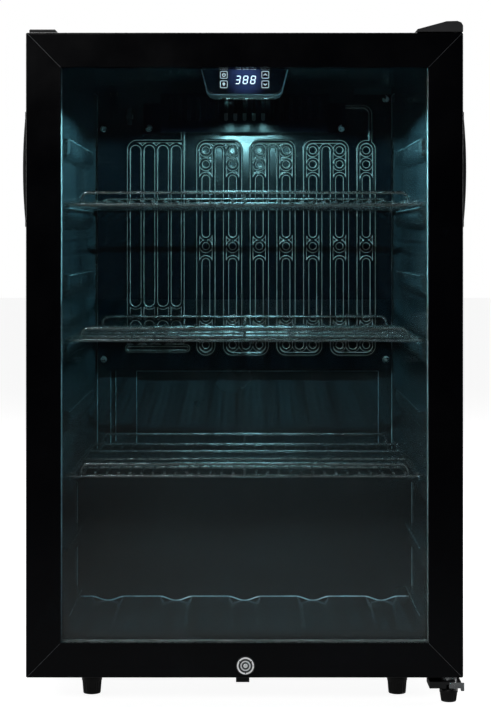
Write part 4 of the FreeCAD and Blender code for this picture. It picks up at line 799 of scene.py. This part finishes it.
def panel_trim():
    """The pale outline round the sides and the foot of the control panel."""
    low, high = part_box("control_housing")
    front = low[1] - 0.25 * MM
    inset, corner = 0.9 * MM, 7.0 * MM
    top_half, low_half = 51.5 * MM - inset, 42.5 * MM - inset
    z0, z1 = low[2] + inset, high[2]
    slope = math.degrees(math.atan2(z1 - z0, top_half - low_half))
    start_z = z0 + corner
    edge = low_half + (top_half - low_half) * corner / (z1 - z0)
    right = [(top_half, z1), (edge, start_z)]
    right += arc(edge - corner, start_z, corner, slope - 90, -90, 8)[1:]
    path = right + [(-x, z) for x, z in reversed(right)]
    look = Look("trim_grey", (0.30, 0.33, 0.37), 0.35)
    look.vary_colour(look.noise(120.0), (0.2, 0.23, 0.26))
    piece("panel_trim", *ribbon(path, 1.1 * MM, front, 0.3 * MM), "cabinet", look.material, "black_plastic",
          smooth=False)


def lamp_emitters():
    """The three lit emitters of the lamp strip, and the light that they throw past the fan cover's lip."""
    low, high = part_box("led_lens")
    centre_x, y, z = (low[0] + high[0]) / 2, (low[1] + high[1]) / 2, low[2]
    lit = glow("lamp_light", EMITTER_COLOUR, 3.0).material
    blockers = bpy.data.collections.new("lamp_blockers")
    blockers.objects.link(NODES["fan_cover"])
    blockers.collection_objects[0].light_linking.link_state = "EXCLUDE"
    for k in (-1, 0, 1):
        x = centre_x + k * LAMP_PITCH
        profile = [(radius * MM, z + rise * MM, 0) for radius, rise in EMITTER_PROFILE]
        piece(f"lamp_emitter_{k + 2}", *turned(profile, x, y, 24), "cabinet", lit, "lens")
        lamp = bpy.data.lights.new(f"lamp_{k + 2}", "SPOT")
        lamp.energy = LAMP_POWER
        lamp.color = COOL_LIGHT
        lamp.shadow_soft_size = LAMP_RADIUS
        lamp.spot_size = math.radians(LAMP_CONE)
        lamp.spot_blend = 0.08
        holder = bpy.data.objects.new(f"lamp_{k + 2}", lamp)
        holder.location = (x, y, z - LAMP_DROP)
        holder.visible_camera = holder.visible_transmission = False
        holder.light_linking.blocker_collection = blockers
        bpy.context.scene.collection.objects.link(holder)


# ---- small trim ------------------------------------------------------------------------------
def block(x0, x1, y0, y1, z0, z1):
    """A box as vertices and faces."""
    vertices = [(x, y, z) for z in (z0, z1) for y in (y0, y1) for x in (x0, x1)]
    faces = [(0, 2, 3, 1), (4, 5, 7, 6), (0, 1, 5, 4), (2, 6, 7, 3), (0, 4, 6, 2), (1, 3, 7, 5)]
    return vertices, faces


def spacer_edge():
    """The aluminium spacer between the panes, where it shows round the opening."""
    low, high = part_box("pane_spacer")
    y0, y1 = low[1] + 0.3 * MM, high[1] - 0.3 * MM
    half, show = OPENING_HALF, 0.7 * MM
    sides = [block(side * half - show / 2, side * half + show / 2, y0, y1, OPENING_LOW, OPENING_HIGH)
             for side in (-1, 1)]
    sides.append(block(-half, half, y0, y1, OPENING_LOW - 0.2 * MM, OPENING_LOW + 1.1 * MM))
    look = Look("spacer_edge", (0.16, 0.165, 0.175), 0.45, metal=0.3)
    look.vary_colour(look.noise(90.0), (0.09, 0.094, 0.1))
    piece("spacer_sight_edge", *join(sides), "door", look.material, "bare_aluminium", smooth=False)


def mitre_lines():
    """Fine pale lines on the door frame at its four mitred corners, a painted highlight for the light the mitre
    joints catch.
    """
    low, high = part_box("door_top_rail")
    outer_half = (high[0] - low[0]) / 2 - 1.2 * MM
    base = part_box("door_bottom_rail")[0]
    front = low[1] - 0.02 * MM
    lines = []
    for side in (-1, 1):
        lines.append([(side * outer_half, high[2] - 1.2 * MM), (side * OPENING_HALF, OPENING_HIGH)])
        lines.append([(side * outer_half, base[2] + 1.2 * MM), (side * OPENING_HALF, OPENING_LOW)])
    # painted highlight: pale strips on the black frame stand in for light caught by the mitre joints
    look = Look("mitre_painted_highlight", (0.16, 0.165, 0.18), 0.35, metal=0.3)
    look.vary_colour(look.noise(160.0), (0.08, 0.083, 0.09))
    piece("mitre_painted_highlights", *join([ribbon(line, 0.4 * MM, front, 0.1 * MM) for line in lines]), "door",
          look.material, "gloss_black", smooth=False)


def corner_strips():
    """The raised moulded strips in the liner's two rear corners, round at the top."""
    y1 = REAR_WALL + 0.5 * MM
    shapes = []
    for side in (-1, 1):
        middle, half = side * STRIP_X, STRIP_HALF
        outline = [(middle - half, STRIP_BOTTOM), (middle + half, STRIP_BOTTOM)]
        outline += arc(middle, STRIP_TOP, half, 0, 180, 12)
        count = len(outline)
        vertices = []
        layers = ((0.0, 4.5), (0.9, 4.1), (1.3, 3.2), (1.3, 0.0))
        for grow, y in ((out * MM, y1 - proud * MM) for out, proud in layers):
            for index, (x, z) in enumerate(outline):
                dx, dz = x - middle, max(z - STRIP_TOP, 0.0)
                reach = max(math.hypot(dx, dz), 1e-6)
                vertices.append((x + grow * dx / reach, y, z + grow * dz / reach))
        faces = [tuple(range(count))]
        for ring in range(3):
            for k in range(count):
                a, b = ring * count + k, ring * count + (k + 1) % count
                faces.append((a, a + count, b + count, b))
        shapes.append((vertices, faces))
    piece("rear_corner_strips", *join(shapes), "cabinet", LOOKS["liner_plastic"], "liner_plastic")


def bead(path, radius, steps=8):
    """A round strip along an open path of 3-D points, with a flat cap on each end."""
    path = np.array(path)
    vertices, faces = [], []
    for index, point in enumerate(path):
        way = path[min(index + 1, len(path) - 1)] - path[max(index - 1, 0)]
        way /= np.linalg.norm(way)
        across = np.cross(way, (0.0, 1.0, 0.0) if abs(way[1]) < 0.9 else (0.0, 0.0, 1.0))
        across /= np.linalg.norm(across)
        up = np.cross(across, way)
        for k in range(steps):
            angle = 2 * math.pi * k / steps
            vertices.append(tuple(point + radius * (math.cos(angle) * across + math.sin(angle) * up)))
    for ring in range(len(path) - 1):
        for k in range(steps):
            a, b = ring * steps + k, ring * steps + (k + 1) % steps
            faces.append((a, b, b + steps, a + steps))
    faces.append(tuple(reversed(range(steps))))
    faces.append(tuple(range(len(vertices) - steps, len(vertices))))
    return vertices, faces


def step_foot_bead():
    """The rolled edge where the liner's floor meets its step, coloured pale as a painted highlight; it dips
    into each floor groove.
    """
    foot = []
    for x in np.linspace(-STEP_HALF, STEP_HALF, 241):
        off = abs((x / GROOVE_PITCH + 0.5) % 1.0 - 0.5) * GROOVE_PITCH
        share = min(off / GROOVE_TOP_HALF, 1.0)
        dip = GROOVE_DEPTH * (0.5 + 0.5 * math.cos(math.pi * share))
        foot.append((x, STEP_FRONT, FLOOR_Z - dip))
    # painted highlight: the bead is far paler than the liner so the floor's edge shows as a bright line
    look = Look("step_painted_highlight", (0.2, 0.26, 0.31), 0.16)
    look.vary_colour(look.noise(60.0), (0.3, 0.38, 0.44))
    piece("step_foot_bead", *bead(foot, 0.8 * MM), "cabinet", look.material, "liner_plastic")


def edge_beads():
    """The fine edges of the liner, drawn as pale beads that are a painted highlight: step corners, shelf
    ledges, corner strips and back recesses.
    """
    shapes = []
    for side in (-1, 1):
        shapes.append([(side * STEP_HALF, STEP_FRONT, FLOOR_Z), (side * STEP_HALF, STEP_FRONT, STEP_TOP)])
        for level in range(LEDGE_COUNT):
            top = LEDGE_FIRST_TOP + level * LEDGE_PITCH
            rear = LEDGE_REAR if top > STEP_TOP else STEP_FRONT
            shapes.append([(side * LEDGE_NOSE, LEDGE_FRONT, top), (side * LEDGE_NOSE, rear, top)])
        middle, half = side * STRIP_X, STRIP_HALF
        outline = [(middle + half, STRIP_BOTTOM)] + arc(middle, STRIP_TOP, half, 0, 180, 12)
        outline.append((middle - half, STRIP_BOTTOM))
        shapes.append([(x, REAR_WALL - 4.0 * MM, z) for x, z in outline])
    for x in RECESS_EDGES:
        shapes.append([(x, REAR_WALL, RECESS_LOW), (x, REAR_WALL, RECESS_HIGH)])
    shapes.append([(RECESS_EDGES[-2], REAR_WALL, RECESS_HIGH), (RECESS_EDGES[-1], REAR_WALL, RECESS_HIGH)])
    # painted highlight: pale beads along the liner's edges stand in for the light those edges catch
    look = Look("liner_painted_highlight", (0.09, 0.12, 0.135), 0.2)
    look.vary_colour(look.noise(60.0), (0.15, 0.19, 0.205))
    beads = [bead(path, 0.45 * MM) for path in shapes]
    piece("liner_edge_beads", *join(beads), "cabinet", look.material, "liner_plastic")


# Radius and width of each ring on the lock's face, in millimetres: flange and shoulder, which carry a painted
# highlight, and the gaps, which carry painted shade.
LOCK_RINGS = ((8.6, 1.5), (4.9, 0.8))
LOCK_POST = (1.5, 1.1)
LOCK_GAPS = ((6.6, 1.5), (3.2, 1.1))
LOCK_NOTCHES = (35, 145, 270)


def lock_rings():
    """The turned rings on the lock's face and its key post, pale metal with a painted highlight, and painted
    shade in the gaps and notches.
    """
    low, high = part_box("lock_body")
    x, z, front = (low[0] + high[0]) / 2, (low[2] + high[2]) / 2, low[1]
    # painted highlight: the rings are pale metal that also gives out a faint white glow, though they are no
    # lamp
    bright = Look("lock_painted_highlight", (0.9, 0.9, 0.91), 0.3)
    bright.set("Emission Color", (1.0, 1.0, 1.0, 1.0))
    bright.set("Emission Strength", 0.32)
    bright.vary_gloss(bright.noise(600.0), 0.08)
    bright.vary_colour(bright.noise(300.0), (0.66, 0.67, 0.69))
    # painted shade: near-black strips laid over the keyway gaps and the notches, where shade falls
    dark = Look("lock_painted_shade", (0.01, 0.01, 0.011), 0.4)
    dark.vary_colour(dark.noise(300.0), (0.02, 0.02, 0.021))
    shapes = [ribbon(arc(x, z, radius * MM, 3, 357, 60), width * MM, front - 0.15 * MM, 0.15 * MM)
              for radius, width in LOCK_RINGS]
    radius, width = LOCK_POST
    shapes.append(ribbon(arc(x, z, radius * MM, 0, 350, 20), width * MM, front - 0.15 * MM, 0.15 * MM))
    piece("lock_painted_highlight_rings", *join(shapes), "door", bright.material, "zinc", smooth=False)
    gaps = [ribbon(arc(x, z, radius * MM, 0, 359, 60), width * MM, front - 0.08 * MM, 0.1 * MM)
            for radius, width in LOCK_GAPS]
    for angle in LOCK_NOTCHES:
        c, s = math.cos(math.radians(angle)), math.sin(math.radians(angle))
        notch = [(x + 5.6 * MM * c, z + 5.6 * MM * s), (x + 8.4 * MM * c, z + 8.4 * MM * s)]
        gaps.append(ribbon(notch, 1.2 * MM, front - 0.2 * MM, 0.1 * MM))
    piece("lock_painted_shade_gaps", *join(gaps), "door", dark.material, "black_plastic", smooth=False)


# ---- light, floor, camera --------------------------------------------------------------------
def area_light(name, place, aim, size, energy):
    """A soft white rectangular light that looks at a point."""
    data = bpy.data.lights.new(name, "AREA")
    data.shape = "RECTANGLE"
    data.size, data.size_y = size
    data.energy = energy
    holder = bpy.data.objects.new(name, data)
    holder.location = place
    direction = np.array(aim) - np.array(place)
    length = np.linalg.norm(direction)
    pitch = math.acos(max(-1.0, min(1.0, -direction[2] / length)))
    holder.rotation_euler = (pitch, 0, math.atan2(direction[1], direction[0]) - math.pi / 2)
    bpy.context.scene.collection.objects.link(holder)


def by_camera_ray(tree, seen, otherwise, target):
    """Feeds a socket one value for what is looked at directly and another for the light it gives."""
    nodes, links = tree.nodes, tree.links
    mix = nodes.new("ShaderNodeMix")
    mix.data_type = "RGBA"
    mix.inputs["A"].default_value = (*otherwise, 1.0)
    mix.inputs["B"].default_value = (*seen, 1.0)
    links.new(nodes.new("ShaderNodeLightPath").outputs["Is Camera Ray"], mix.inputs["Factor"])
    links.new(mix.outputs["Result"], target)
    return mix


def near_glow(look):
    """The light that the pale floor returns, strongest in front of the object and gone 1.5 m from there."""
    gap = look.nodes.new("ShaderNodeVectorMath")
    gap.operation = "DISTANCE"
    gap.inputs[1].default_value = (0.0, -0.25, 0.0)
    look.links.new(look.place, gap.inputs[0])
    return look.ramp(gap.outputs["Value"], NEAR_GLOW, 0.0, *NEAR_GLOW_REACH)


def stage():
    """A pale floor under a pale sky, with soft studio light."""
    half = FLOOR_SIZE / 2
    corners = [(-half, -half, 0), (half, -half, 0), (half, half, 0), (-half, half, 0)]
    mesh = bpy.data.meshes.new("floor")
    mesh.from_pydata(corners, [], [(0, 1, 2, 3)])
    floor = bpy.data.objects.new("floor", mesh)
    bpy.context.scene.collection.objects.link(floor)
    look = Look("floor_pale", (0.9, 0.9, 0.9), 0.9)
    look.vary_gloss(look.noise(3.0), 0.05)
    tree = look.material.node_tree
    by_camera_ray(tree, (0.35, 0.35, 0.35), (0.012, 0.012, 0.012), look.shader.inputs["Base Color"])
    mix = by_camera_ray(tree, (0.93, 0.93, 0.93), (0.0, 0.0, 0.0), look.shader.inputs["Emission Color"])
    tree.links.new(near_glow(look), mix.inputs["A"])
    look.set("Emission Strength", 1.0)
    mesh.materials.append(look.material)
    world = bpy.data.worlds.new("sky")
    bpy.context.scene.world = world
    world.use_nodes = True
    background = world.node_tree.nodes["Background"]
    by_camera_ray(world.node_tree, (1.0, 1.0, 1.0), (0.006, 0.0063, 0.008), background.inputs["Color"])
    area_light("top_soft", (0.0, 1.6, 2.4), (0.0, 0.1, 0.7), (2.6, 1.2), 60.0)
    area_light("front_soft", (-1.6, -3.6, 2.4), (0.0, -0.25, 0.4), (1.6, 1.2), 60.0)
    area_light("left_rim", (-1.7, 0.5, 0.8), (-0.2, -0.2, 0.4), (0.5, 1.6), 14.0)
    area_light("right_rim", (1.7, 0.5, 0.8), (0.2, -0.2, 0.4), (0.5, 1.6), 14.0)


def camera():
    """The camera, straight in front of the door, at two thirds of the object's height."""
    data = bpy.data.cameras.new("camera")
    data.lens = LENS
    data.sensor_width = 36.0
    data.shift_x = SHIFT_X
    data.shift_y = SHIFT_Y
    data.clip_end = 60.0
    holder = bpy.data.objects.new("camera", data)
    door_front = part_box("door_top_rail")[0][1]
    holder.location = (0.0, door_front - CAMERA_DISTANCE, CAMERA_HEIGHT)
    holder.rotation_euler = (math.pi / 2, 0, 0)
    bpy.context.scene.collection.objects.link(holder)
    bpy.context.scene.camera = holder
    bpy.context.scene.view_settings.view_transform = "Standard"


camera()
stage()
dress_cad_nodes()
soften(0.35 * MM, ["door_bottom_rail", "door_top_rail", "door_left_stile", "door_right_stile"])
soften(0.3 * MM, ["lock_body", "lock_plug", "lock_escutcheon", "lower_hinge_bracket", "lower_hinge_fittings",
                  "lock_strike", "control_housing", "control_fascia"])
soften(0.6 * MM, ["upper_hinge_cover", "left_grip", "right_grip", "terminal_cover", "drip_tray", "fan_cover"])
evaporator()
door_seal()
feet()
digits()
key_icons()
panel_trim()
lamp_emitters()
spacer_edge()
mitre_lines()
corner_strips()
step_foot_bead()
edge_beads()
lock_rings()
